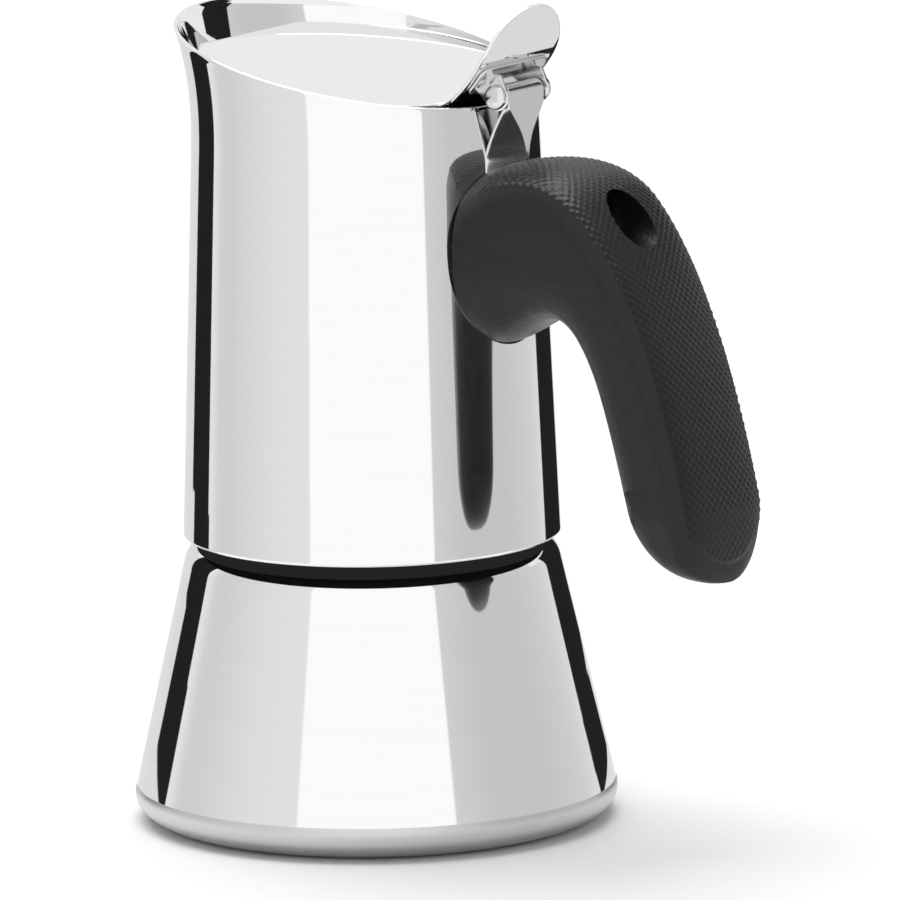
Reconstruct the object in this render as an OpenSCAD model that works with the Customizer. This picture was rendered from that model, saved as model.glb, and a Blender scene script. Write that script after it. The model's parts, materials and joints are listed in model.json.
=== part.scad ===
// Stovetop moka pot: conical steel boiler, screw-on collector, hinged lid and moulded handle.
// Millimetres. +Z is up, the floor is z = 0, the pot's axis is Z, the handle points to +X
// and the spout to -X. Every piece is drawn where it sits in the closed, screwed-down pot.

/* [Boiler] */
// Radius of the rounded edge of the base, the widest part of the pot
base_r = 44.2; // [40:0.1:50]
// Rounding of the base cap's edge
base_edge_r = 5.5; // [4.5:0.1:7]
// Sheet thickness of the base cap
base_cap_t = 0.7; // [0.5:0.05:1]
// Thickness of the heat spreader disc inside the base
spreader_t = 3.8; // [3:0.1:4.4]
// Sheet thickness of the boiler wall
boiler_wall = 1; // [0.8:0.05:1.4]
// Height at which the cone ends and the shoulder begins
shoulder_z = 48; // [44:0.5:52]
// Radius of the cone where the shoulder begins
shoulder_r = 34.4; // [33.8:0.1:35.5]
// Rounding of the shoulder
shoulder_round = 6; // [5.2:0.1:6.5]
// Outer radius of the threaded neck
neck_r = 29.8; // [29:0.1:30.2]
// Height of the neck above the shoulder's start
neck_h = 16; // [15:0.5:18]

/* [Thread] */
// Pitch of the screw thread between boiler and collector
thread_pitch = 3.5; // [3:0.1:4]
// Radial height of the thread ridge
thread_depth = 1.1; // [0.8:0.05:1.2]
// Radial gap between a ridge and the wall it faces
thread_gap = 0.4; // [0.3:0.05:0.5]
// Turns of the ridge on each side
thread_turns = 1.6; // [1.2:0.1:1.7]

/* [Safety valve] */
// Height of the valve on the boiler wall
valve_z = 30; // [24:0.5:33]
// Radius of the valve's threaded stem
valve_stem_r = 4; // [3.5:0.1:5]
// Radius of the flat seat formed in the wall round the valve
valve_seat_r = 6.6; // [6.2:0.1:8]
// How far the plunger lifts when the valve blows
valve_travel = 1.5; // [0.8:0.1:1.6]
// Radius of the plunger's stem
plunger_r = 1; // [0.8:0.05:1.2]
// Radius of the wire of the valve spring
spring_wire_r = 0.3; // [0.2:0.02:0.36]

/* [Funnel] */
// Outer radius of the funnel's basket
basket_r = 26.6; // [24:0.1:27.4]
// Depth of the basket
basket_h = 17; // [14:0.5:19]
// Sheet thickness of the funnel
funnel_wall = 0.7; // [0.5:0.05:1]
// Outer radius of the funnel's stem
funnel_stem_r = 4.8; // [4:0.1:6]
// Gap between the stem's end and the boiler's floor
stem_gap = 4; // [3:0.5:8]
// Radius of the holes in the screen and the filter plate
sieve_hole_r = 0.7; // [0.4:0.05:0.9]

/* [Collector] */
// Height of the collector's lower edge
collector_z = 52.65; // [52.3:0.05:53.2]
// Outer radius of the collector just above its lower edge
collector_r = 34.5; // [34.2:0.1:36]
// Radius lost for each millimetre of height
collector_taper = 0.0375; // [0.03:0.0005:0.042]
// Sheet thickness of the collector wall
collector_wall = 0.8; // [0.6:0.05:1]
// Height of the rim on the pot's axis
rim_z = 140.9; // [136:0.1:146]
// Slope of the rim, which rises from the handle to the spout
rim_slope = 0.195; // [0.17:0.005:0.21]
// How far the spout's lip flares out
spout_flare = 5; // [3:0.1:7]
// Height of the flared part of the wall
spout_h = 18; // [14:0.5:24]
// Height of the coffee column above the collector's floor
column_h = 46; // [40:1:50]
// Radius of the coffee column at its foot
column_r = 5.9; // [5:0.1:7]

/* [Seal] */
// Thickness of the rubber gasket
gasket_t = 2.6; // [2.2:0.1:3.2]
// Width of the gasket ring
gasket_w = 4.6; // [4:0.1:5.4]
// Thickness of the filter plate
filter_t = 0.6; // [0.4:0.05:0.8]

/* [Lid] */
// Radius of the lid disc
lid_r = 30.3; // [29.6:0.05:30.4]
// Sheet thickness of the lid
lid_t = 0.7; // [0.5:0.05:0.9]
// Height of the lid's top face on the pot's axis
lid_z = 139.2; // [138.8:0.1:139.6]
// Slope of the lid
lid_slope = 0.131; // [0.12:0.005:0.15]
// Half width of the thumb tab
tab_w = 11.7; // [9:0.1:12.4]
// Bend radius of the thumb tab's curve
tab_bend_r = 26; // [24:0.5:28]
// Angle at which the tab leaves the lid
tab_angle_low = 38; // [34:1:42]
// Angle of the tab's straight end
tab_angle_high = 68; // [64:1:72]
// Length of the tab's straight end
tab_end = 6.4; // [5:0.1:9]

/* [Hinge] */
// Distance of the hinge pin outside the collector wall
pin_off = 3.4; // [3.2:0.1:3.8]
// Height of the hinge pin above the rim at the handle
pin_rise = 2.1; // [1.9:0.1:2.4]
// Radius of the hinge pin
pin_r = 1.2; // [1:0.05:1.3]
// Half length of the rolled barrel on the bracket
barrel_w = 5.4; // [4.8:0.1:6]
// Thickness of the hinge sheets
hinge_t = 0.75; // [0.6:0.05:0.8]
// Radial running clearance of the pin in the barrel
pin_gap = 0.05; // [0.03:0.01:0.08]

/* [Handle] */
// Height of the handle's highest point
handle_top_z = 123.6; // [121:0.1:124.4]
// Height of the handle's lower tip
handle_tip_z = 51.9; // [48:0.1:56]
// Distance from the pot's axis to the outer face near the tip
handle_reach = 79.9; // [77:0.1:84]
// Thickness of the hanging limb
handle_t = 16.3; // [14:0.1:17]
// Half width of the hanging limb
handle_w = 12.4; // [11.5:0.1:13.5]
// Depth of the handle's underside below its highest point
under_drop = 26.5; // [24:0.1:28]
// Radius of the round boss that sits on the collector
boss_r = 15.2; // [14.6:0.1:16]
// Radius of the screw's access hole
access_r = 5; // [4.5:0.1:5.6]
// Radius of the handle screw
screw_r = 2; // [1.8:0.1:2.4]
// Depth of the screw's axis below the handle's highest point
screw_drop = 7.5; // [6.8:0.1:8]

/* [Hidden] */

$fn = 72;
eps = 0.02;
seat = 0.05;         // gap left between two pieces that touch
fit = 0.1;           // gap of a piece pushed into another
cut = 1;             // how far a cutter runs past the face it opens

// ---- boiler and base ----
base_edge_x = base_r - base_edge_r;
cone_z = base_edge_r + 1.5;
cone_slope = (base_r - shoulder_r) / (shoulder_z - cone_z);
wall_tilt = atan(cone_slope);
corner_r = 2.4;
floor_z = base_cap_t + spreader_t + 2 * seat;
corner_x = base_r - corner_r - 0.25;
corner_z = floor_z + corner_r;
shoulder_x = shoulder_r - shoulder_round * cos(wall_tilt);
shoulder_cz = shoulder_z - shoulder_round * sin(wall_tilt);
neck_angle = acos((neck_r - shoulder_x) / shoulder_round);
neck_in = neck_r - boiler_wall;
neck_in_angle = acos(min(1, max(-1, (neck_in - shoulder_x) / (shoulder_round - boiler_wall))));
neck_z = shoulder_z + neck_h;
function cone_r(z) = shoulder_r + (shoulder_z - z) * cone_slope;

// ---- thread ----
ridge_root = 0.8;    // half width of a ridge at its sunk root
ridge_sunk = 0.5;    // how deep the root is sunk in its wall
ridge_crest = 0.35;  // half width of a ridge at its crest
thread_z = neck_z - 2.6 - thread_turns * thread_pitch;
skirt_in = neck_r + thread_depth + thread_gap;
female_z = thread_z + thread_pitch / 2;

// ---- safety valve, heights along its own axis from the wall's outer face ----
seat_rise = 0.8;
seal_t = 1.2;
hex_t = 3;
turret_t = 3;
chamber_r = 3.1;
inlet_r = 1.6;
valve_depth = 7;
plunger_head_r = chamber_r - 0.4;
plunger_head_t = 1.5;
valve_hex_z = seat_rise + seal_t;
turret_z = valve_hex_z + hex_t;
valve_top = turret_z + turret_t;
cap_plug_t = 1.4;
cap_flange_t = 0.8;
spring_low = seat + plunger_head_t + seat;
spring_high = valve_top - cap_plug_t - seat;
spring_mean_r = plunger_r + 0.35 + spring_wire_r + 0.4;
spring_turns = 4;
spring_steps = 14;
spring_sides = 6;

// ---- funnel, gasket and filter plate ----
flange_t = 0.7;
basket_z = neck_z + flange_t - basket_h;
ledge_w = 1;
cone_drop = 7;
screen_t = 0.6;
gasket_z = neck_z + flange_t + seat;
gasket_out = skirt_in - thread_depth - 0.1;
filter_z = gasket_z + gasket_t + seat;
filter_r = gasket_out - gasket_w + 1.8;
filter_field_r = gasket_out - gasket_w - 1.2;
sieve_step = 3.6;

// ---- collector ----
ceiling_z = filter_z + filter_t + seat;
ceiling_t = 1;
ceiling_flat = filter_r - 1;
dome_h = 4.5;
socket_h = 4;
socket_t = 1;
column_z = ceiling_z + dome_h + ceiling_t;
column_top = column_z + column_h;
column_top_r = column_r * 0.72;
column_wall = 0.8;
outlet_r = 1.6;
cap_gap = 0.35;
cap_wall = 1.05;
cap_crown = 1.2;
flare_z = rim_z - spout_h;
shell_sides = 72;
flare_rows = 7;
lip_r = 0.55;        // inward step of the rounded lower corner
function wall_r(z) = collector_r - collector_taper * (z - collector_z);
function spout_weight(a) = pow((1 - cos(a)) / 2, 3.3);
function plain_rim_z(a) = rim_z - rim_slope * wall_r(rim_z) * cos(a);
function rim_r(a) = wall_r(plain_rim_z(a)) + spout_flare * spout_weight(a);
function rim_h(a) = rim_z - rim_slope * rim_r(a) * cos(a);
function flare_zt(a, t) = flare_z + (rim_h(a) - flare_z) * t;
function flare_rt(a, t) = wall_r(flare_zt(a, t)) + spout_flare * spout_weight(a) * pow(t, 2.4);

// ---- lid ----
lid_tilt = atan(lid_slope);
tab_small_r = 4;
tab_x = 25;
tab_start = [tab_x, lid_z - lid_slope * tab_x];
small_c = tab_start + tab_small_r * [sin(lid_tilt), cos(lid_tilt)];
curve_start = small_c + tab_small_r * [sin(tab_angle_low), -cos(tab_angle_low)];
curve_c = curve_start + tab_bend_r * [-sin(tab_angle_low), cos(tab_angle_low)];
curve_end = curve_c + tab_bend_r * [sin(tab_angle_high), -cos(tab_angle_high)];
tab_tip = curve_end + tab_end * [cos(tab_angle_high), sin(tab_angle_high)];
spout_chord_x = -26.2;    // where the disc is cut straight at the spout

// ---- hinge ----
rim_handle_x = wall_r(rim_z);
rim_handle_z = rim_z - rim_slope * rim_handle_x;
pin_x = rim_handle_x + pin_off;
pin_z = rim_handle_z + pin_rise;
barrel_bore = pin_r + pin_gap;
barrel_r = barrel_bore + hinge_t;
ear_gap = 0.35;
ear_y = barrel_w + ear_gap;
ear_r = barrel_r + 0.6;
head_r = pin_r + 1.05;
head_t = 1.3;
leaf_low = tab_angle_low + 5;
leaf_high = tab_angle_low + 19;
foot_w = tab_w - 1.5;
bracket_low_z = handle_top_z - screw_drop - 10;
web_x = pin_x + barrel_r;
plate_half = 6.4;

// ---- handle ----
screw_z = handle_top_z - screw_drop;
boss_z = handle_top_z - boss_r - 2.4;
bush_r = 3.9;
bush_end = wall_r(screw_z) + 8.5;
grip_in = bush_end + 6;      // floor of the screw's access hole
washer_t = 0.9;
head_h = 3.2;
limb_z = handle_tip_z + handle_w + 0.8;
limb_out = handle_reach - 0.7;
limb_in = handle_reach - handle_t - 0.6;
tip_x = handle_reach + 0.75;
root_x = wall_r(boss_z) - 2.5;
boss_low_z = boss_z - boss_r;
knee_off = 27.3;
knee_drop = 6.4;
under_off = 17;
boss_w = boss_r - 0.8;
face_crown = 0.11;      // bulge of the outer face, as a share of the section's half depth
rail_steps = 30;
ring_points = 32;

// Points on an arc, from angle a to angle b, in n steps
function arc(c, r, a, b, n) = [for (i = [0:n]) c + r * [cos(a + (b - a) * i / n), sin(a + (b - a) * i / n)]];
// Point on a cubic curve with control points p
function bezier(p, t) = pow(1 - t, 3) * p[0] + 3 * t * pow(1 - t, 2) * p[1] + 3 * t * t * (1 - t) * p[2]
                        + pow(t, 3) * p[3];
// Quads between successive closed rings of n points, and the two end caps
function ring_faces(rows, n) = [for (r = [0:rows - 2], i = [0:n - 1])
    [r * n + i, r * n + (i + 1) % n, (r + 1) * n + (i + 1) % n, (r + 1) * n + i]];
function capped_faces(rows, n) = concat(ring_faces(rows, n), [[for (i = [n - 1:-1:0]) i]],
                                        [[for (i = [0:n - 1]) (rows - 1) * n + i]]);

// Part of a ring in the XY plane between two angles, for sheet that is bent round centre c
module sector(c, r_in, r_out, a, b) {
    reach = 2 * r_out;
    translate(c) intersection() {
        difference() {
            circle(r_out);
            circle(r_in);
        }
        polygon([[0, 0], reach * [cos(a), sin(a)], reach * [cos((a + b) / 2), sin((a + b) / 2)],
                 reach * [cos(b), sin(b)]]);
    }
}

// A flat drawing in X and Z, made as thick as the range y0 to y1
module across(y0, y1) {
    translate([0, y1, 0]) rotate([90, 0, 0]) linear_extrude(y1 - y0) children();
}

// Ridge wound along a helix, its root sunk in its wall; inward is -1 for a ridge inside a ring
module thread_ridge(root_r, z0, inward) {
    steps = 36;
    count = round(steps * thread_turns);
    tip = root_r + inward * thread_depth;
    back = root_r - inward * ridge_sunk;
    profile = [[back, -ridge_root], [tip, -ridge_crest], [tip, ridge_crest], [back, ridge_root]];
    rings = [for (k = [0:count]) let (a = 360 * k / steps) [for (p = profile)
        [p[0] * cos(a), p[0] * sin(a), z0 + thread_pitch * k / steps + p[1]]]];
    faces = capped_faces(count + 1, len(profile));
    flipped = inward > 0 ? faces : [for (f = faces) [for (i = [len(f) - 1:-1:0]) f[i]]];
    polyhedron([for (ring = rings, p = ring) p], flipped);
}

// ---- boiler ----

module at_valve() {
    rotate([0, 0, 90]) translate([cone_r(valve_z), 0, valve_z]) rotate([0, 90 - wall_tilt, 0]) children();
}

module boiler_shell() {
    outer = concat([[0, floor_z]], arc([corner_x, corner_z], corner_r, -90, wall_tilt, 6),
                   arc([shoulder_x, shoulder_cz], shoulder_round, wall_tilt, neck_angle, 8),
                   [[neck_r, neck_z], [neck_in, neck_z]]);
    inner = concat(arc([shoulder_x, shoulder_cz], shoulder_round - boiler_wall, neck_in_angle, wall_tilt, 8),
                   arc([corner_x, corner_z], corner_r - boiler_wall, wall_tilt, -90, 5),
                   [[0, floor_z + boiler_wall]]);
    color([0.82, 0.82, 0.83]) difference() {
        union() {
            rotate_extrude() polygon(concat(outer, inner));
            thread_ridge(neck_r, thread_z, 1);
            at_valve() translate([0, 0, -boiler_wall - seat_rise])
                cylinder(r = valve_seat_r, h = boiler_wall + 2 * seat_rise);
        }
        at_valve() translate([0, 0, -valve_depth]) cylinder(r = valve_stem_r + fit, h = 2 * valve_depth);
    }
}

module base_cap() {
    c = [base_edge_x, base_edge_r];
    color([0.72, 0.72, 0.73]) rotate_extrude() polygon(concat([[0, 0]], arc(c, base_edge_r, -90, 0, 8),
        arc(c, base_edge_r - base_cap_t, 0, -90, 8), [[0, base_cap_t]]));
}

module heat_spreader() {
    low = base_cap_t + seat;
    inset = base_edge_r - base_cap_t - 2 * seat;
    color([0.8, 0.8, 0.82]) rotate_extrude() polygon([[0, low],
        [base_edge_x, low], [base_edge_x + inset * 0.7, base_edge_r - inset * 0.7],
        [base_edge_x + inset * 0.9, low + spreader_t], [0, low + spreader_t]]);
}

// ---- safety valve ----

module valve_body() {
    color([0.78, 0.62, 0.32]) at_valve() difference() {
        union() {
            translate([0, 0, -valve_depth]) cylinder(r = valve_stem_r, h = valve_depth + valve_hex_z + eps);
            translate([0, 0, valve_hex_z]) cylinder(r = valve_seat_r, h = hex_t, $fn = 6);
            translate([0, 0, turret_z]) cylinder(r = valve_stem_r + 0.6, h = turret_t);
        }
        translate([0, 0, -valve_depth - cut]) cylinder(r = inlet_r, h = valve_depth + 2 * cut);
        cylinder(r = chamber_r, h = valve_top + cut);
    }
}

module valve_seal() {
    color([0.75, 0.2, 0.15]) at_valve() translate([0, 0, seat_rise]) difference() {
        cylinder(r = valve_seat_r - 0.7, h = seal_t);
        translate([0, 0, -cut]) cylinder(r = valve_stem_r + fit, h = seal_t + 2 * cut);
    }
}

module valve_nut() {
    nut_t = 2.6;
    color([0.78, 0.62, 0.32]) at_valve() translate([0, 0, -boiler_wall - seat_rise - nut_t]) difference() {
        cylinder(r = valve_seat_r, h = nut_t, $fn = 6);
        translate([0, 0, -cut]) cylinder(r = valve_stem_r + seat, h = nut_t + 2 * cut);
    }
}

module valve_cap() {
    color([0.78, 0.62, 0.32]) at_valve() difference() {
        union() {
            translate([0, 0, valve_top - cap_plug_t]) cylinder(r = chamber_r - seat, h = cap_plug_t + eps);
            translate([0, 0, valve_top]) cylinder(r = valve_stem_r, h = cap_flange_t);
        }
        translate([0, 0, valve_top - cap_plug_t - cut])
            cylinder(r = plunger_r + 0.25, h = cap_plug_t + cap_flange_t + 2 * cut);
    }
}

module valve_plunger() {
    tip = valve_top + cap_flange_t + 1.4;
    color([0.85, 0.72, 0.42]) at_valve() translate([0, 0, seat]) {
        cylinder(r = plunger_head_r, h = plunger_head_t);
        cylinder(r = plunger_r, h = tip);
    }
}

module valve_spring() {
    count = spring_turns * spring_steps;
    low = spring_low + spring_wire_r;
    high = spring_high - spring_wire_r;
    lead = atan((high - low) / spring_turns / (2 * PI * spring_mean_r));
    rings = [for (k = [0:count]) let (a = 360 * k / spring_steps, z = low + (high - low) * k / count)
        [for (j = [0:spring_sides - 1]) let (b = 360 * j / spring_sides, u = spring_wire_r * cos(b),
                                             w = spring_wire_r * sin(b))
            [(spring_mean_r + u) * cos(a) + w * sin(lead) * sin(a),
             (spring_mean_r + u) * sin(a) - w * sin(lead) * cos(a), z + w * cos(lead)]]];
    faces = capped_faces(count + 1, spring_sides);
    color([0.7, 0.7, 0.72]) at_valve() polyhedron([for (ring = rings, p = ring) p], faces);
}

// ---- funnel and its screen ----

module funnel() {
    stem_low = floor_z + boiler_wall + stem_gap;
    stem_top = basket_z - cone_drop;
    in_r = basket_r - funnel_wall;
    color([0.84, 0.84, 0.85]) rotate_extrude() polygon([
        [funnel_stem_r, stem_low], [funnel_stem_r, stem_top], [basket_r, basket_z],
        [basket_r, neck_z], [neck_r - fit, neck_z], [neck_r - fit, neck_z + flange_t],
        [in_r, neck_z + flange_t], [in_r, basket_z + funnel_wall],
        [in_r - ledge_w, basket_z + funnel_wall],
        [funnel_stem_r - funnel_wall, stem_top + funnel_wall], [funnel_stem_r - funnel_wall, stem_low]]);
}

// Sheet disc with rings of small holes out to the radius field
module sieve(disc_r, field, t) {
    difference() {
        cylinder(r = disc_r, h = t);
        for (ring = [1:floor(field / sieve_step)]) for (i = [0:ring * 6 - 1])
            rotate([0, 0, 60 * i / ring]) translate([ring * sieve_step, 0, -cut])
                cylinder(r = sieve_hole_r, h = t + 2 * cut, $fn = 16);
    }
}

module funnel_screen() {
    in_r = basket_r - funnel_wall;
    color([0.8, 0.8, 0.8]) translate([0, 0, basket_z + funnel_wall]) sieve(in_r - fit, in_r - 3, screen_t);
}

// ---- seal between boiler and collector ----

module gasket() {
    color([0.9, 0.89, 0.86]) translate([0, 0, gasket_z]) difference() {
        cylinder(r = gasket_out, h = gasket_t);
        translate([0, 0, -cut]) cylinder(r = gasket_out - gasket_w, h = gasket_t + 2 * cut);
    }
}

module filter_plate() {
    color([0.8, 0.8, 0.8]) translate([0, 0, filter_z]) sieve(filter_r, filter_field_r, filter_t);
}

// ---- collector ----

module collector_shell() {
    function ring(r, z) = [for (i = [0:shell_sides - 1]) let (a = 360 * i / shell_sides) [r * cos(a), r * sin(a), z]];
    function flare(off) = [for (k = [0:flare_rows]) [for (i = [0:shell_sides - 1])
        let (a = 360 * i / shell_sides, r = flare_rt(a, k / flare_rows) - off)
        [r * cos(a), r * sin(a), flare_zt(a, k / flare_rows)]]];
    corner = [[lip_r, 0], [lip_r * 0.4, 0.3], [0, 0.9]];
    outer = [for (c = corner) ring(wall_r(collector_z + c[1]) - c[0], collector_z + c[1])];
    inside = flare(collector_wall);
    inner = [for (k = [flare_rows:-1:0]) inside[k]];
    low = [ring(wall_r(collector_z) - collector_wall, collector_z + 0.4),
           ring(wall_r(collector_z) - collector_wall - 0.3, collector_z)];
    rows = concat(outer, flare(0), inner, low, [outer[0]]);
    count = len(rows) - 1;
    points = [for (k = [0:count - 1], p = rows[k]) p];
    faces = [for (k = [0:count - 1], i = [0:shell_sides - 1]) let (n = shell_sides, u = (k + 1) % count)
        [k * n + i, k * n + (i + 1) % n, u * n + (i + 1) % n, u * n + i]];
    color([0.83, 0.83, 0.84]) polyhedron(points, faces);
}

module collector_base() {
    skirt_out = skirt_in + 1.1;
    low = collector_z + 1.2;
    function in_wall(z) = wall_r(z) - collector_wall - fit;
    dome_in = column_r + fit;
    color([0.8, 0.8, 0.81]) {
        rotate_extrude() polygon([
            [skirt_in, low], [in_wall(low), low], [in_wall(low + 1), low + 1], [skirt_out, low + 1],
            [skirt_out, ceiling_z], [in_wall(ceiling_z), ceiling_z],
            [in_wall(ceiling_z + ceiling_t), ceiling_z + ceiling_t], [ceiling_flat, ceiling_z + ceiling_t],
            [dome_in + socket_t, column_z], [dome_in + socket_t, column_z + socket_h],
            [dome_in, column_z + socket_h], [dome_in, column_z], [dome_in - socket_t, column_z],
            [dome_in - socket_t, column_z - ceiling_t], [ceiling_flat - 1, ceiling_z], [skirt_in, ceiling_z]]);
        thread_ridge(skirt_in, female_z, -1);
    }
}

module coffee_column() {
    color([0.8, 0.8, 0.81]) rotate_extrude() polygon([
        [column_r, column_z], [column_r, column_z + socket_h], [column_top_r, column_top],
        [column_top_r - column_wall, column_top], [column_r - column_wall, column_z + socket_h],
        [column_r - column_wall, column_z]]);
}

module column_cap() {
    sleeve = column_r;
    crown = cap_crown;
    out_r = column_top_r + cap_gap + cap_wall;
    in_r = column_top_r + cap_gap;
    top = column_top + 2.8 * outlet_r;
    color([0.8, 0.8, 0.81]) difference() {
        rotate_extrude() polygon([[in_r, column_top - sleeve], [out_r, column_top - sleeve], [out_r, top],
            [out_r * 0.55, top + crown], [0, top + crown], [0, top - column_wall + crown],
            [in_r, top - column_wall]]);
        for (side = [0, 180]) rotate([0, 0, 90 + side]) translate([0, 0, column_top + 1.25 * outlet_r])
            rotate([0, 90, 0]) cylinder(r = outlet_r, h = out_r + cut);
    }
}

// ---- lid and hinge ----

// Places its children on the lid's sloping plane, whose top face is then at height 0
module on_lid() {
    translate([0, 0, lid_z]) rotate([0, lid_tilt, 0]) children();
}

module lid() {
    far = -lid_r - cut;
    small_out = tab_small_r + lid_t;
    curve_out = tab_bend_r + lid_t;
    back = tab_tip + lid_t * [sin(tab_angle_high), -cos(tab_angle_high)];
    under = [lid_t * sin(lid_tilt), lid_t * cos(lid_tilt)];
    sheet = concat([[far, lid_z - lid_slope * far]],
        arc(small_c, tab_small_r, -90 - lid_tilt, tab_angle_low - 90, 6),
        arc(curve_c, tab_bend_r, tab_angle_low - 90, tab_angle_high - 90, 8), [tab_tip, back],
        arc(curve_c, curve_out, tab_angle_high - 90, tab_angle_low - 90, 8),
        arc(small_c, small_out, tab_angle_low - 90, -90 - lid_tilt, 6),
        [[far, lid_z - lid_slope * far] - under]);
    color([0.86, 0.86, 0.87]) difference() {
        intersection() {
            across(-lid_r, lid_r) polygon(sheet);
            union() {
                on_lid() intersection() {
                    translate([0, 0, -lid_r]) cylinder(r = lid_r, h = 2 * lid_r);
                    translate([spout_chord_x, -lid_r, -2 * lid_r]) cube([tab_x - spout_chord_x, 2 * lid_r, 4 * lid_r]);
                }
                translate([tab_x - 2, -tab_w, 0]) cube([base_r, 2 * tab_w, 2 * rim_z]);
            }
        }
        tab_rounding();
    }
}

// What is cut from the thumb tab to leave its end round
module tab_rounding() {
    centre = tab_tip - tab_w * [cos(tab_angle_high), sin(tab_angle_high)];
    translate([centre[0], 0, centre[1]]) rotate([0, -tab_angle_high, 0]) translate([0, 0, -tab_w]) difference() {
        translate([0, -2 * tab_w, 0]) cube([2 * tab_w, 4 * tab_w, 2 * tab_w]);
        translate([0, 0, -cut]) cylinder(r = tab_w, h = 2 * tab_w + 2 * cut);
    }
}

module lid_leaf() {
    back = tab_bend_r + lid_t + seat;
    foot = back + hinge_t;
    low = curve_c + foot * [cos(leaf_low - 90), sin(leaf_low - 90)];
    high = curve_c + foot * [cos(leaf_high - 90), sin(leaf_high - 90)];
    pin = [pin_x, pin_z];
    color([0.8, 0.8, 0.81]) {
        across(-foot_w, foot_w) sector(curve_c, back, foot, leaf_low - 90, leaf_high - 90);
        for (side = [-1, 1]) difference() {
            across(side > 0 ? ear_y : -ear_y - hinge_t, side > 0 ? ear_y + hinge_t : -ear_y) {
                translate(pin) circle(ear_r);
                polygon([low - 0.3 * [1, 0], high - 0.3 * [1, 0], high + [1.6, 0], pin + ear_r * [0.94, 0.34],
                         pin, pin + ear_r * [-0.64, -0.77]]);
            }
            translate([pin_x, 0, pin_z]) rotate([90, 0, 0])
                cylinder(r = pin_r, h = 4 * ear_y, center = true);
        }
        across(-ear_y - eps, ear_y + eps) polygon([high - 0.3 * [1, 0], high + [1.6, 0],
                                                   high + [1.6, -hinge_t], high + [-0.4, -hinge_t - 0.6]]);
    }
}

module hinge_pin() {
    grip = ear_y + hinge_t + seat;
    color([0.86, 0.86, 0.87]) translate([pin_x, 0, pin_z]) {
        rotate([90, 0, 0]) cylinder(r = pin_r - 0.01, h = 2 * grip + 0.2, center = true);
        for (side = [-1, 1]) rotate([-90 * side, 0, 0]) translate([0, 0, grip]) intersection() {
            cylinder(r = head_r, h = head_t);
            translate([0, 0, head_t - head_r * 1.35]) sphere(r = head_r * 1.35);
        }
    }
}

module hinge_bracket() {
    // each row: height, half width of the front web, how far the fold stands off the wall, the fold's y
    low = screw_z + bush_r + 0.4;
    wing_top = pin_z - ear_r - 0.4;
    rows = [for (r = [[0, 0.5, 0.8, 5.6], [0.17, 0.5, 0.8, 5.6], [0.43, 1, 0.95, 5.5], [0.65, 1.9, 1.8, 5.4],
                      [0.87, 3.4, 3.3, 5.3], [1, 4.6, 4.2, 5.3]]) [low + (wing_top - low) * r[0], r[1], r[2], r[3]]];
    side_rows = len(rows);
    wing = plate_half + 0.9;
    function on_wall(z, y) = let (r = wall_r(z) + seat) sqrt(r * r - y * y);
    function back_y(row) = max(row[1] - 0.55 * hinge_t, 0.15);
    function front(row, s) = [[on_wall(row[0], wing), s * wing],
        [on_wall(row[0], row[3]) + row[2], s * row[3]], [web_x, s * row[1]]];
    function back(row, s) = let (y_fold = row[3] - 1.2 * hinge_t, y_wing = wing - 1.6 * hinge_t)
        [[web_x - hinge_t, s * back_y(row)],
         [on_wall(row[0], y_fold) + max(row[2] - 1.2 * hinge_t, seat), s * y_fold],
         [on_wall(row[0], y_wing) + seat, s * y_wing]];
    // one closed ring per row: along the front face, then back along the rear face
    function reversed(list) = [for (i = [len(list) - 1:-1:0]) list[i]];
    function hat(row) = [for (p = concat(front(row, 1), reversed(front(row, -1)), reversed(back(row, -1)),
                                         back(row, 1))) [p[0], p[1], row[0]]];
    n = 12;
    last = (side_rows - 1) * n;
    ends = [for (i = [0:4]) each [[i + 1, i, n - 1 - i, n - 2 - i],
                                  [last + i, last + i + 1, last + n - 2 - i, last + n - 1 - i]]];
    strip_z = wing_top - 1;
    tongue_h = low + 1 - bracket_low_z;
    color([0.8, 0.8, 0.81]) {
        polyhedron([for (k = [0:side_rows - 1], p = hat(rows[k])) p], concat(ring_faces(side_rows, n), ends));
        // front web above the wings, up to the barrel
        translate([web_x - hinge_t + eps, 0, 0]) rotate([90, 0, 90]) linear_extrude(hinge_t - 2 * eps)
            polygon([[-back_y(rows[side_rows - 1]), strip_z], [back_y(rows[side_rows - 1]), strip_z],
                     [barrel_w - eps, pin_z - 0.6], [-barrel_w + eps, pin_z - 0.6]]);
        // rolled barrel round the pin
        difference() {
            translate([pin_x, 0, pin_z]) rotate([90, 0, 0]) cylinder(r = barrel_r, h = 2 * barrel_w, center = true);
            translate([pin_x, 0, pin_z]) rotate([90, 0, 0]) cylinder(r = barrel_bore, h = 4 * barrel_w, center = true);
        }
        // flat tongue on the collector wall, hidden inside the handle
        difference() {
            translate([0, 0, bracket_low_z]) intersection() {
                difference() {
                    cylinder(r = wall_r(bracket_low_z) + seat + hinge_t, h = tongue_h);
                    translate([0, 0, -cut]) cylinder(r = wall_r(bracket_low_z) + seat, h = tongue_h + 2 * cut);
                }
                translate([0, -plate_half, -cut]) cube([base_r, 2 * plate_half, tongue_h + 2 * cut]);
            }
            translate([0, 0, screw_z]) rotate([0, 90, 0]) cylinder(r = bush_r + fit, h = base_r);
        }
    }
}

// ---- handle ----

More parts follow.
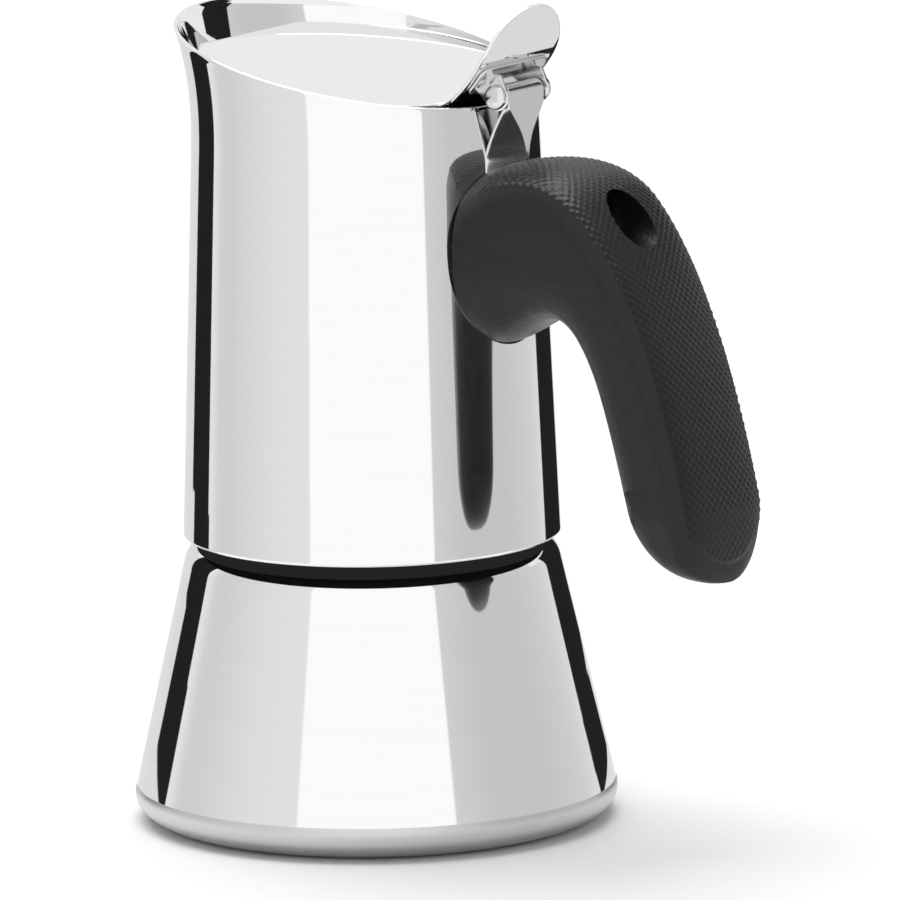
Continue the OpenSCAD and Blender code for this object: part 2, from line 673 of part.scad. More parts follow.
// Upper and outer line of the handle, t from 0 at the collector to 1 at the limb's end
function outer_rail(t) = let (knee = [root_x + knee_off, handle_top_z - knee_drop])
    t < 0.5 ? bezier([[root_x, handle_top_z - 2.4], [root_x + 11, handle_top_z + 0.5],
                      [root_x + 20, handle_top_z + 1.8], knee], 2 * t)
            : bezier([knee, knee + [7.4, -8], [handle_reach - 7.6, limb_z + 31], [limb_out, limb_z]], 2 * t - 1);
// Lower and inner line of the handle
function inner_rail(t) = let (under = [root_x + under_off, handle_top_z - under_drop])
    t < 0.5 ? bezier([[root_x, boss_low_z], [root_x + 6, boss_low_z - 0.6], under - [6.4, 0], under], 2 * t)
            : bezier([under, under + [8.4, 0], [limb_in - 4, limb_z + 14.6], [limb_in, limb_z]], 2 * t - 1);
// Rounded tip: angle a runs from 0 at the limb's end to 90 at the tip
function tip_line(x, a, roundness, bulge) =
    [tip_x + (x - tip_x) * pow(cos(a), roundness) + bulge * sin(a) * cos(a),
     limb_z + (handle_tip_z - limb_z) * sin(a)];
// Half width of the section along the limb
function grip_width(t) = boss_w + (handle_w - boss_w) * min(1, 1.6 * t) + 0.5 * sin(180 * min(1, max(0, 2 * t - 0.5)));
// Section between an inner and an outer point: a superellipse across Y, squarer on its outer half
function section(p_in, p_out, w, q_out, q_in) = let (mid = (p_in + p_out) / 2, half = (p_out - p_in) / 2)
    [for (i = [0:ring_points - 1]) let (a = 360 * i / ring_points, c = cos(a), s = sin(a),
                                        q = c > -eps ? q_out : q_in,
                                        u = sign(c) * pow(abs(c), 2 / q), v = sign(s) * pow(abs(s), 2 / q),
                                        depth = u * (u > 0 ? 1 + face_crown * (1 - v * v) : 1))
        [mid[0] + half[0] * depth, w * v * (1 + 0.06 * u), mid[1] + half[1] * depth]];

module handle_body() {
    tip_steps = 7;
    tip_end = 85;
    square_out = 7;
    square_in = 3;
    limb = [for (k = [0:rail_steps]) let (t = k / rail_steps)
        section(inner_rail(t), outer_rail(t), grip_width(t), 2.6 + (square_out - 2.6) * min(1, 2.2 * t),
                2 + (square_in - 2) * min(1, 2.4 * t))];
    tip = [for (k = [1:tip_steps]) let (a = tip_end * k / tip_steps)
        section(tip_line(limb_in, a, 0.72, 2.6), tip_line(limb_out, a, 0.62, 1.2),
                grip_width(1) * pow(cos(a), 0.67), square_out + (3 - square_out) * sin(a),
                square_in + (2.4 - square_in) * sin(a))];
    rings = concat(limb, tip);
    polyhedron([for (ring = rings, p = ring) p], capped_faces(len(rings), ring_points));
}

module handle() {
    slot = plate_half + 1.4;
    color([0.12, 0.12, 0.12]) difference() {
        handle_body();
        // saddle that follows the collector wall
        cylinder(r1 = wall_r(0) + fit, r2 = wall_r(rim_z) + fit, h = rim_z);
        // pocket for the bracket, open at the top
        translate([0, -slot, bracket_low_z - 1.5]) cube([web_x + 0.5, 2 * slot, base_r]);
        // hole for the bush, then the screw, then the access hole for its head
        translate([0, 0, screw_z]) rotate([0, 90, 0]) {
            cylinder(r = bush_r + 0.2, h = bush_end + 0.3);
            cylinder(r = screw_r + 0.3, h = handle_reach);
            translate([0, 0, grip_in]) cylinder(r = access_r, h = handle_reach);
        }
    }
}

module handle_bush() {
    start = wall_r(screw_z - bush_r) + seat;
    color([0.75, 0.75, 0.76]) translate([start, 0, screw_z]) rotate([0, 90, 0]) difference() {
        cylinder(r = bush_r, h = bush_end - start);
        translate([0, 0, 1]) cylinder(r = screw_r + seat, h = bush_end);
    }
}

module handle_washer() {
    color([0.75, 0.75, 0.76]) translate([grip_in, 0, screw_z]) rotate([0, 90, 0]) difference() {
        cylinder(r = access_r - 0.4, h = washer_t);
        translate([0, 0, -cut]) cylinder(r = screw_r + 0.2, h = washer_t + 2 * cut);
    }
}

module handle_screw() {
    head_z = grip_in + washer_t;
    start = wall_r(screw_z) + 0.26 * (bush_end - wall_r(screw_z));
    color([0.7, 0.7, 0.72]) translate([0, 0, screw_z]) rotate([0, 90, 0]) difference() {
        union() {
            translate([0, 0, start]) cylinder(r = screw_r, h = head_z - start + eps);
            translate([0, 0, head_z]) cylinder(r = access_r - 1.2, h = head_h);
        }
        translate([0, 0, head_z + head_h - 1.8]) cylinder(r = 1.7, h = 1.8 + cut, $fn = 6);
    }
}

boiler_shell();
base_cap();
heat_spreader();
valve_body();
valve_seal();
valve_nut();
valve_cap();
valve_plunger();
valve_spring();
funnel();
funnel_screen();
gasket();
filter_plate();
collector_shell();
collector_base();
coffee_column();
column_cap();
lid();
lid_leaf();
hinge_pin();
hinge_bracket();
handle();
handle_bush();
handle_screw();
handle_washer();
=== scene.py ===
"""Moka pot: the finished looks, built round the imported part."""
import json
import math
from types import SimpleNamespace

import bmesh
import bpy
import numpy as np
from bpy.props import FloatProperty, FloatVectorProperty, PointerProperty
from mathutils import Matrix


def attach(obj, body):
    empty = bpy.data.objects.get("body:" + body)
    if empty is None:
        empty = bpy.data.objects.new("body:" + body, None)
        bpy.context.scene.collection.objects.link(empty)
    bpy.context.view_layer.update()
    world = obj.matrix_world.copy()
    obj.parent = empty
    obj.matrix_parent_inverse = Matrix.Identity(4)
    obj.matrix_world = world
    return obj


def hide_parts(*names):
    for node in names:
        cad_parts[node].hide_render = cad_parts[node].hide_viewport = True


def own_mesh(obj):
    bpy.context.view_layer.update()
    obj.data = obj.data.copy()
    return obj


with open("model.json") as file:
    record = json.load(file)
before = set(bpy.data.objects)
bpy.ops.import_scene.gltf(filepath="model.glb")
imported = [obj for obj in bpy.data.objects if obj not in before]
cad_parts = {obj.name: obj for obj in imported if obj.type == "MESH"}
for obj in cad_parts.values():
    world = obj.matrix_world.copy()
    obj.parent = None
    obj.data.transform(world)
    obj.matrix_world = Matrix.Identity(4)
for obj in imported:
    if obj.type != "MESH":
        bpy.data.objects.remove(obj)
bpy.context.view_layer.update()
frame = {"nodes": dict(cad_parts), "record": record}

bl_info = {
    "name": "Moka Pot",
    "version": (1, 0, 0),
    "blender": (4, 5, 0),
    "location": "3D View > Sidebar > Moka Pot",
    "description": "Skins, finishes and stage for a stovetop moka pot",
    "category": "Add Mesh",
}

MM = 0.001
MERGED, NO_LENGTH = 2e-6, 1e-7      # metres: points this close are one point, edges this short are none


# ---- sizes and colours a user may change ----

def length(name, description, default):
    """A length property in metres, written here in millimetres."""
    return FloatProperty(name=name, description=description, default=default * MM, precision=5, unit="LENGTH")


def angle(name, description, default):
    """An angle property, written here in degrees."""
    return FloatProperty(name=name, description=description, default=math.radians(default), subtype="ANGLE")


def number(name, description, default, low=0.0, high=10.0):
    """A plain number property."""
    return FloatProperty(name=name, description=description, default=default, min=low, max=high, precision=4)


def colour(name, description, default):
    """A colour property."""
    return FloatVectorProperty(name=name, description=description, default=default, min=0, max=1,
                               subtype="COLOR")


class PotBoilerSizes(bpy.types.PropertyGroup):
    base_r: length("Base radius", "Radius of the rounded base edge", 44.2)
    edge_r: length("Base edge", "Height of the rounding along the base, up to its widest point", 5.0)
    edge_in: length("Base edge depth", "How far in the base's rounding starts", 7.4)
    edge_turn: angle("Edge end", "How far the base's rounding turns in over the wall", 32)
    cap_t: length("Base sheet", "Thickness of the base cap's sheet", 0.7)
    floor_z: length("Floor height", "Underside of the boiler's own floor", 4.6)
    corner_r: length("Lower corner", "Rounding of the wall above the base", 1.3)
    wall_t: length("Wall", "Thickness of the boiler wall", 1.0)
    shoulder_r: length("Shoulder radius", "Radius of the cone where the shoulder starts", 34.4)
    shoulder_z: length("Shoulder height", "Height of the shoulder", 48.0)
    flare_z: length("Cone's foot", "Height at which the cone would reach the base radius", 7.0)
    shoulder_round: length("Shoulder rounding", "Radius of the shoulder's curve", 6.0)
    neck_r: length("Neck radius", "Outer radius of the threaded neck", 29.8)
    neck_z: length("Neck height", "Height of the neck's edge", 64.0)
    ridge_pitch: length("Thread pitch", "Rise of the thread for each turn", 3.5)
    ridge_depth: length("Thread depth", "How far the ridge stands off the neck", 1.1)
    ridge_z: length("Thread start", "Height at which the ridge starts", 55.8)
    valve_z: length("Valve height", "Height of the safety valve's axis at the wall", 30.0)
    valve_seat_r: length("Valve seat", "Radius of the pressed flat round the valve", 6.6)
    valve_seat_rise: length("Seat rise", "How far the pressed flat stands off the wall", 0.8)


class PotCollectorSizes(bpy.types.PropertyGroup):
    low_z: length("Lower edge", "Height of the collector's lower edge", 52.65)
    low_r: length("Lower radius", "Radius at the lower edge", 34.5)
    taper: number("Taper", "Loss of radius for each unit of height", 0.0375)
    sheet_t: length("Wall", "Thickness of the wall", 0.8)
    rim_z: length("Rim height", "Height of the rim's plane on the axis", 140.9)
    rim_slope: number("Rim slope", "Fall of the rim towards the handle", 0.195)
    flare: length("Spout flare", "How far the spout stands out", 5.0)
    flare_z: length("Flare start", "Height at which the spout starts to flare", 122.9)
    lip: length("Lower lip", "Inward step of the lower corner", 0.55)


class PotLidSizes(bpy.types.PropertyGroup):
    disc_r: length("Lid radius", "Radius of the lid's disc", 30.3)
    sheet_t: length("Lid sheet", "Thickness of the lid's sheet", 0.7)
    top_z: length("Lid height", "Height of the lid's top face on the axis", 139.2)
    slope: number("Lid slope", "Fall of the lid towards the handle", 0.131)
    chord_x: length("Spout cut", "Place of the straight cut at the spout", -26.2)
    tab_x: length("Tab start", "Distance at which the tab starts to bend up", 25.0)
    tab_w: length("Tab half width", "Half width of the thumb tab", 11.7)
    small_bend_r: length("First bend", "Radius of the tab's first bend", 4.0)
    long_bend_r: length("Long bend", "Radius of the tab's long curve", 26.0)
    bend_low: angle("First bend angle", "Slope of the tab after its first bend", 38)
    bend_high: angle("Last bend angle", "Slope of the tab at its end", 68)
    tab_end: length("Straight end", "Length of the tab's straight end", 6.4)


class PotHingeSizes(bpy.types.PropertyGroup):
    pin_x: length("Pin distance", "Distance of the hinge pin from the axis", 34.590625)
    pin_z: length("Pin height", "Height of the hinge pin", 136.917828)
    pin_r: length("Pin radius", "Radius of the hinge pin", 1.19)
    barrel_r: length("Barrel radius", "Outer radius of the rolled barrel", 2.0)
    barrel_w: length("Barrel half length", "Half length of the rolled barrel", 5.4)
    ear_y: length("Ear", "Distance of the leaf's ears from the middle", 5.75)
    sheet_t: length("Hinge sheet", "Thickness of the hinge's sheet", 0.75)
    head_r: length("Pin head radius", "Radius of the pin's domed heads", 2.25)
    head_t: length("Pin head height", "Height of the pin's domed heads", 1.3)
    wing_y: length("Bracket half width", "Distance of the bracket's free edges from the middle", 5.6)
    wing_low: length("Bracket start", "Height at which the bracket starts", 120.4)
    lug_r: length("Lug radius", "Radius of the ear round the pin", 2.55)
    ear_top: length("Ear top", "Height of the ear's flat top", 140.9)
    ear_high: angle("Ear end", "Slope of the tab where the ear ends", 53.0)
    foot_low: angle("Foot start", "Slope of the tab where the leaf's foot starts", 43.0)
    foot_high: angle("Foot end", "Slope of the tab where the leaf's foot ends", 56.5)
    foot_w: length("Foot half width", "Half width of the leaf's foot", 10.2)
    foot_t: length("Foot sheet", "Thickness of the leaf's foot", 0.6)
    rivet_r: length("Rivet radius", "Radius of the leaf's rivets", 1.05)
    rivet_y: length("Rivet place", "Distance of the rivets from the middle", 8.4)
    rivet_turn: angle("Rivet slope", "Slope of the tab where the rivets sit", 49.5)


class PotHandleSizes(bpy.types.PropertyGroup):
    top_z: length("Handle top", "Height of the handle's highest point", 123.6)
    tip_z: length("Handle tip", "Height of the handle's lower tip", 51.9)
    reach: length("Handle reach", "Distance of the outer face from the axis", 79.9)
    depth: length("Limb depth", "Depth of the hanging limb", 16.3)
    half_w: length("Limb half width", "Half width of the hanging limb", 12.4)
    boss_r: length("Boss radius", "Radius of the end at the collector", 15.2)
    under_drop: length("Underside", "Depth of the underside below the top", 26.5)
    screw_drop: length("Screw depth", "Depth of the screw's axis below the top", 7.5)
    access_r: length("Access radius", "Radius of the screw's access hole", 5.0)
    access_x: length("Access floor", "Distance of the access hole's floor", 46.6)
    crown: number("Outer crown", "Bulge of the outer face as a share of the half depth", 0.11)
    knurl_rise: length("Knurl height", "Height of the diamond pattern on the outer face", 0.27)
    knurl_along: length("Knurl along", "Repeat of the diamond pattern along the handle", 1.67)
    knurl_across: length("Knurl across", "Repeat of the diamond pattern across the handle", 1.75)


class PotFinishes(bpy.types.PropertyGroup):
    steel: colour("Polished steel", "Mirror finish of boiler, collector and lid", (0.86, 0.86, 0.865))
    plain_steel: colour("Plain steel", "Plain steel sheet", (0.66, 0.66, 0.67))
    satin_steel: colour("Satin steel", "Hinge, leaf and pin", (0.72, 0.72, 0.73))
    base_steel: colour("Base steel", "Satin steel of the base", (0.64, 0.64, 0.65))
    aluminium: colour("Aluminium", "Heat spreader", (0.80, 0.80, 0.82))
    brass: colour("Brass", "Safety valve", (0.78, 0.58, 0.28))
    red_seal: colour("Seal", "Sealing ring of the safety valve", (0.50, 0.06, 0.035))
    gasket: colour("Gasket", "Gasket between boiler and collector", (0.84, 0.83, 0.79))
    zinc: colour("Zinc", "Screw, washer and bush", (0.55, 0.55, 0.57))
    plastic: colour("Handle", "Moulded handle", (0.007, 0.007, 0.0073))


class PotStageSettings(bpy.types.PropertyGroup):
    camera_x: length("Camera X", "Place of the camera along X", 1553.71855)
    camera_y: length("Camera Y", "Place of the camera along Y", -2037.93231)
    camera_z: length("Camera Z", "Height of the camera", 559.80874)
    azimuth: angle("Camera turn", "Angle of the camera round the pot from the handle's side", 37)
    pitch: angle("Camera pitch", "How far the camera looks down", 10.8752)
    roll: angle("Camera roll", "Turn of the camera about its own line of sight", -0.9016)
    lens: length("Lens", "Focal length on a 36 mm sensor", 571.887)
    floor: colour("Floor", "Colour of the floor", (0.93, 0.93, 0.93))
    key: number("Key light", "Strength of the broad soft light", 2.5, 0.0, 20.0)
    key_spread: angle("Key spread", "Angle over which the key light is spread", 56)
    fill: number("Fill light", "Strength of the surrounding light", 0.42)


def in_mm(group):
    """The values of a property group, lengths in millimetres and angles in degrees."""
    values = {}
    for key, prop in group.bl_rna.properties.items():
        if prop.type != "FLOAT":
            continue
        value = getattr(group, key)
        if prop.unit == "LENGTH":
            value = value / MM
        elif prop.subtype == "ANGLE":
            value = math.degrees(value)
        values[key] = value
    return SimpleNamespace(**values)


# ---- curves and surfaces, all in millimetres ----

def arc(centre, radius, start, end, steps):
    """Points on a circle: centre + radius (cos a, sin a), a from start to end in degrees."""
    a = np.radians(np.linspace(start, end, steps + 1))
    return np.column_stack([centre[0] + radius * np.cos(a), centre[1] + radius * np.sin(a)])


def line(start, end, steps):
    """Points at equal steps on a straight line, without its two ends."""
    t = np.linspace(0, 1, steps + 1)[1:-1, None]
    return (1 - t) * np.asarray(start, float) + t * np.asarray(end, float)


def bezier(points, t):
    """Cubic curve: the four control points weighted by the Bernstein polynomials of t."""
    p = np.asarray(points, float)
    t = np.asarray(t, float)[:, None]
    return (1 - t) ** 3 * p[0] + 3 * t * (1 - t) ** 2 * p[1] + 3 * t * t * (1 - t) * p[2] + t ** 3 * p[3]


def revolve(profile, turns):
    """Rows of (r cos a, r sin a, z) for every (r, z) of the profile and every angle a."""
    r, z = profile[:, 0, None], profile[:, 1, None]
    return np.stack([r * np.cos(turns), r * np.sin(turns), z + 0 * turns], axis=-1)


def full_turn(count):
    """Equal angles of one full turn, in radians."""
    return np.linspace(0, 2 * np.pi, count, endpoint=False)[None, :]


def eased(t):
    """A soft step from 0 to 1: t squared times (3 - 2 t)."""
    return t * t * (3 - 2 * t)


def distance_along(points):
    """Distance along a line of points, from its first point to each."""
    return np.concatenate([[0], np.cumsum(np.linalg.norm(np.diff(points, axis=0), axis=1))])


def grid_faces(rows, columns, closed_rows, closed_columns):
    """Four-cornered faces between neighbouring rows and columns of a grid of points."""
    i = np.arange(rows if closed_rows else rows - 1)[:, None]
    j = np.arange(columns if closed_columns else columns - 1)[None, :]
    i2, j2 = (i + 1) % rows, (j + 1) % columns
    corners = [i * columns + j, i * columns + j2, i2 * columns + j2, i2 * columns + j]
    return np.stack(corners, -1).reshape(-1, 4)


def capped(grid):
    """Adds a first and a last row that shrink to the middle of each end, so the ends are closed."""
    first, last = (np.broadcast_to(row.mean(axis=0), (1, *row.shape)) for row in (grid[0], grid[-1]))
    return np.concatenate([first, grid, last])


def grid_object(name, grids, closed_rows=False, closed_columns=True):
    """Joins grids of points (rows, columns, 3) in millimetres into one mesh object in metres."""
    points, faces, count = [], [], 0
    for grid in grids:
        rows, columns = grid.shape[:2]
        points.append(grid.reshape(-1, 3) * MM)
        faces.append(grid_faces(rows, columns, closed_rows, closed_columns) + count)
        count += rows * columns
    mesh = bpy.data.meshes.new(name)
    mesh.from_pydata(np.concatenate(points).tolist(), [], np.concatenate(faces).tolist())
    made = bpy.data.objects.new(name, mesh)
    bpy.context.scene.collection.objects.link(made)
    return made


def smoothed(mesh, sharp):
    """Smooth shading that breaks at edges sharper than the given angle in degrees."""
    mesh.shade_smooth()
    mesh.set_sharp_from_angle(angle=math.radians(sharp))


def put_mesh(name, *grids, sharp=32.0, closed_rows=False):
    """A closed piece made of grids of points: doubles merged, faces turned outwards."""
    piece = grid_object(name, grids, closed_rows)
    work = bmesh.new()
    work.from_mesh(piece.data)
    bmesh.ops.remove_doubles(work, verts=work.verts, dist=MERGED)
    bmesh.ops.dissolve_degenerate(work, edges=work.edges, dist=NO_LENGTH)
    bmesh.ops.recalc_face_normals(work, faces=work.faces)
    if work.calc_volume(signed=True) < 0:
        bmesh.ops.reverse_faces(work, faces=work.faces)
    work.to_mesh(piece.data)
    work.free()
    smoothed(piece.data, sharp)
    return piece


def settled(piece, sharp):
    """Replaces a piece's mesh by what its modifiers make of it."""
    graph = bpy.context.evaluated_depsgraph_get()
    mesh = bpy.data.meshes.new_from_object(piece.evaluated_get(graph))
    piece.modifiers.clear()
    piece.data = mesh
    smoothed(mesh, sharp)


def bent_strip(path, half_widths, thickness, edge_steps=10):
    """A sheet carried along a path in X and Z: at every point of the path the section is a flat slot of the
    given half width across Y, its two edges half circles of the sheet's thickness. The path is the front
    face, and the sheet lies on its right-hand side, going along it."""
    tangent = np.gradient(path, axis=0)
    tangent /= np.linalg.norm(tangent, axis=1)[:, None]
    half_t = thickness / 2
    wide = half_widths[:, None]
    flat, bow = np.maximum(wide - half_t, 0), np.minimum(wide, half_t)
    across = np.linspace(-1, 1, 25)
    a = np.radians(np.linspace(-90, 90, edge_steps + 1))[1:-1]
    y = np.concatenate([flat * across, flat + bow * np.cos(a), flat * across[::-1],
                        -flat - bow * np.cos(a[::-1])], axis=1)
    depth = np.concatenate([0 * across, half_t + half_t * np.sin(a), thickness + 0 * across,
                            half_t + half_t * np.sin(a[::-1])])
    return np.stack([path[:, :1] + tangent[:, 1:] * depth, y, path[:, 1:] - tangent[:, :1] * depth], axis=-1)


def rounded_end(grid, thickness, steps=4):
    """Closes the first row of a strip by rows that draw in like a half circle of the sheet's thickness."""
    end = grid[0]
    out = (end - grid[1]).mean(axis=0)
    out /= np.linalg.norm(out)
    middle = (end.max(axis=0) + end.min(axis=0)) / 2
    half, wide = thickness / 2, abs(end[:, 1]).max()
    a = np.radians(np.linspace(0, 90, steps + 1))[1:, None, None]
    across = np.maximum(wide - half * (1 - np.sin(a)), 0) / max(wide, 1e-6)
    drawn_in = (end - middle) * np.concatenate([np.sin(a), across, np.sin(a)], axis=-1)
    return np.concatenate([middle + drawn_in + half * np.cos(a) * out, grid])


# ---- materials ----

class Wire:
    """One socket of a node tree. Arithmetic on it adds Math nodes."""

    def __init__(self, finish, socket):
        self.finish, self.socket = finish, socket

    def math(self, operation, *values):
        """A Math node of this operation on the values."""
        return self.finish.add("ShaderNodeMath", dict(enumerate(values)), operation=operation)

    def __add__(self, other): return self.math("ADD", self, other)
    def __radd__(self, other): return self.math("ADD", other, self)
    def __sub__(self, other): return self.math("SUBTRACT", self, other)
    def __rsub__(self, other): return self.math("SUBTRACT", other, self)
    def __mul__(self, other): return self.math("MULTIPLY", self, other)
    def __rmul__(self, other): return self.math("MULTIPLY", other, self)


class Finish:
    """The nodes of a material or of the world, and the one method that adds them."""

    def __init__(self, name, kind="materials"):
        self.owner = getattr(bpy.data, kind).new(name)
        self.owner.use_nodes = True
        self.nodes, self.links = self.owner.node_tree.nodes, self.owner.node_tree.links
        self.nodes.clear()

    def add(self, kind, sockets=None, out=0, **settings):
        """A node of this kind: its settings first, then the values or links of its sockets."""
        node = self.nodes.new(kind)
        for key, value in settings.items():
            setattr(node, key, value)
        for key, value in (sockets or {}).items():
            socket = node.inputs[key]
            if isinstance(value, Wire):
                self.links.new(value.socket, socket)
            else:
                socket.default_value = (*value, 1) if socket.type == "RGBA" else value
        return Wire(self, node.outputs[out] if node.outputs else None)

    def shown(self, shader, output="ShaderNodeOutputMaterial"):
        """Joins the shader to the output and gives back the finished material or world."""
        self.add(output, {"Surface": shader})
        return self.owner

    def place(self):
        """The point being shaded, in the object's own coordinates."""
        return self.add("ShaderNodeTexCoord", out="Object")

    def span(self, value, low, high, to_low=0.0, to_high=1.0):
        """Carries a value from one range to another, held at its ends."""
        return self.add("ShaderNodeMapRange", {"Value": value, "From Min": low, "From Max": high,
                                               "To Min": to_low, "To Max": to_high}, clamp=True)

    def mix(self, factor, first, second):
        """First colour at 0, second colour at 1."""
        return self.add("ShaderNodeMix", {0: factor, 6: first, 7: second}, 2, data_type="RGBA")

    def noise(self, vector, scale, detail=3.0, roughness=0.5):
        """Soft random values about a half."""
        return self.add("ShaderNodeTexNoise", {"Vector": vector, "Scale": scale, "Detail": detail,
                                               "Roughness": roughness})

    def bump(self, height, strength, distance, **under):
        """Relief from a height, over another relief where 'Normal' gives one."""
        return self.add("ShaderNodeBump", {"Height": height, "Strength": strength, "Distance": distance,
                                           **under})

    def surface(self, **sockets):
        """The shader itself; sockets are named with underscores for spaces."""
        named = {key.replace("_", " "): value for key, value in sockets.items()}
        return self.shown(self.add("ShaderNodeBsdfPrincipled", named))

    def metal(self, tint, rough, relief):
        """A bare metal's surface."""
        return self.surface(Base_Color=tint, Metallic=1.0, Roughness=rough, Normal=relief)

    def light(self, strength):
        """Plain white light of one strength, or of one that a socket gives."""
        return self.add("ShaderNodeEmission", {"Color": (1, 1, 1), "Strength": strength})


def shade(tone, share, more=0.0):
    """A tone times a share, plus a little, at most white."""
    return tuple(min(1.0, share * c + more) for c in tone)


def turned_lines(f, stretch, fineness, scale, detail, roughness=0.5):
    """Fine lines round the pot's axis: noise over the turn about it, the distance from it and the height."""
    x, y, z = (f.add("ShaderNodeSeparateXYZ", {0: f.place()}, k) for k in range(3))
    square = x * x + y * y
    radius, turn = square.math("SQRT", square), y.math("ARCTAN2", y, x)
    vector = f.add("ShaderNodeCombineXYZ", {0: turn * stretch, 1: radius * fineness, 2: z * fineness})
    return f.noise(vector, scale, detail, roughness)


def polished(name, tone):
    """Mirror-polished steel: faint polishing lines and slight smudges."""
    f = Finish(name)
    lines = turned_lines(f, 0.6, 900.0, 1.6, 4.0)
    smudge = f.noise(f.place(), 26.0, 4.0, 0.6)
    rough = f.span(smudge, 0.35, 0.7, 0.03, 0.05) + f.span(lines, 0.5, 0.75, 0.0, 0.012)
    tint = f.mix(f.span(lines, 0.3, 0.8), tone, shade(tone, 0.985))
    return f.metal(tint, rough, f.bump(lines, 0.003, 0.0002))


def brushed(name, tone, rough_low=0.2, rough_high=0.32, fineness=1400.0, relief=0.1):
    """Plain steel with fine turned lines round the pot's axis."""
    f = Finish(name)
    lines = turned_lines(f, 1.5, fineness, 1.0, 5.0, 0.6)
    patch = f.noise(f.place(), 60.0)
    tint = f.mix(f.span(lines, 0.3, 0.7), shade(tone, 1 - 0.8 * relief), tone)
    rough = f.span(lines, 0.3, 0.7, rough_low, rough_high) + f.span(patch, 0.4, 0.7, 0.0, 0.05)
    return f.metal(tint, rough, f.bump(lines, relief, 0.0002))


def sheet_steel(name, tone, rough_low=0.16, rough_high=0.26, relief=0.06):
    """Rolled sheet: fine grain with soft patches."""
    f = Finish(name)
    stretched = f.add("ShaderNodeMapping", {"Vector": f.place(), "Scale": (3.0, 1.0, 0.4)})
    grain = f.noise(stretched, 900.0, 4.0, 0.6)
    patch = f.noise(f.place(), 90.0)
    tint = f.mix(f.span(grain, 0.35, 0.65), shade(tone, 1 - relief), tone)
    rough = f.span(grain, 0.35, 0.65, rough_low, rough_high) + f.span(patch, 0.4, 0.7, 0.0, 0.05)
    return f.metal(tint, rough, f.bump(grain, relief, 0.0002))


def cast(name, tone):
    """Cast aluminium: soft mottling and fine pits."""
    f = Finish(name)
    pits = f.noise(f.place(), 1500.0)
    patch = f.noise(f.place(), 120.0, 4.0)
    tint = f.mix(f.span(patch, 0.35, 0.65), shade(tone, 0.85), tone)
    return f.metal(tint, f.span(patch, 0.3, 0.7, 0.34, 0.5), f.bump(pits, 0.25, 0.0002))


def turned_brass(name, tone):
    """Turned brass: fine tool marks and a little tarnish."""
    f = Finish(name)
    marks = f.noise(f.place(), 2600.0, 2.0)
    tarnish = f.noise(f.place(), 260.0, 4.0)
    dull = tuple(c * share for c, share in zip(tone, (0.72, 0.66, 0.6)))
    tint = f.mix(f.span(tarnish, 0.45, 0.75), tone, dull)
    return f.metal(tint, f.span(marks, 0.3, 0.7, 0.2, 0.34), f.bump(marks, 0.1, 0.0001))


def plated(name, tone):
    """Zinc plate: cool, slightly cloudy metal."""
    f = Finish(name)
    cloud = f.noise(f.place(), 700.0, 4.0)
    tint = f.mix(f.span(cloud, 0.4, 0.65), tone, shade(tone, 1.18))
    return f.metal(tint, f.span(cloud, 0.35, 0.65, 0.24, 0.4), f.bump(cloud, 0.08, 0.0001))


def rubber(name, tone):
    """Matt moulded rubber with a dusty bloom."""
    f = Finish(name)
    bloom = f.noise(f.place(), 300.0, 4.0)
    grain = f.noise(f.place(), 3000.0, 2.0)
    tint = f.mix(f.span(bloom, 0.4, 0.7), tone, shade(tone, 1.1, 0.01))
    return f.surface(Base_Color=tint, Roughness=f.span(grain, 0.3, 0.7, 0.55, 0.72),
                     Normal=f.bump(grain, 0.15, 0.0001))


def moulded(name, tone):
    """Satin black thermoset: a soft pebble texture under a fine spark-eroded grain."""
    f = Finish(name)
    grain = f.noise(f.place(), 2600.0, 3.0, 0.6)
    pebble = f.noise(f.place(), 1150.0, 1.0, 0.4)
    wear = f.noise(f.place(), 60.0, 4.0)
    tint = f.mix(f.span(wear, 0.4, 0.7), tone, shade(tone, 1.35))
    relief = f.bump(grain, 0.25, 0.0001, Normal=f.bump(pebble, 0.35, 0.0002))
    return f.surface(Base_Color=tint, Roughness=f.span(grain, 0.3, 0.7, 0.26, 0.38),
                     Specular_IOR_Level=0.32, Normal=relief)


# each finish: what makes it, its tone among the finishes' colours, and the rest of what the maker takes
FINISHES = {
    "steel_polished": (polished, "steel"),
    "steel_satin": (sheet_steel, "satin_steel", 0.14, 0.17, 0.02),
    "steel_sheet": (sheet_steel, "plain_steel"),
    "steel_turned": (brushed, "plain_steel"),
    "steel_base": (brushed, "base_steel", 0.34, 0.4, 900.0, 0.03),
    "aluminium_cast": (cast, "aluminium"),
    "brass_turned": (turned_brass, "brass"),
    "seal_red": (rubber, "red_seal"),
    "gasket_pale": (rubber, "gasket"),
    "zinc_plate": (plated, "zinc"),
    "plastic_black": (moulded, "plastic"),
}
MADE = {}       # the finishes made so far


def finish_of(key):
    """The shared material of one of the pot's finishes, made when it is first asked for."""
    if key not in MADE:
        maker, tone, *values = FINISHES[key]
        MADE[key] = maker(key, tuple(getattr(bpy.context.scene.pot_finishes, tone)), *values)
    return MADE[key]


def dress(piece, key):
    """Gives a piece one of the pot's finishes."""
    piece.data.materials.clear()
    piece.data.materials.append(finish_of(key))


# ---- the pot's own pieces ----

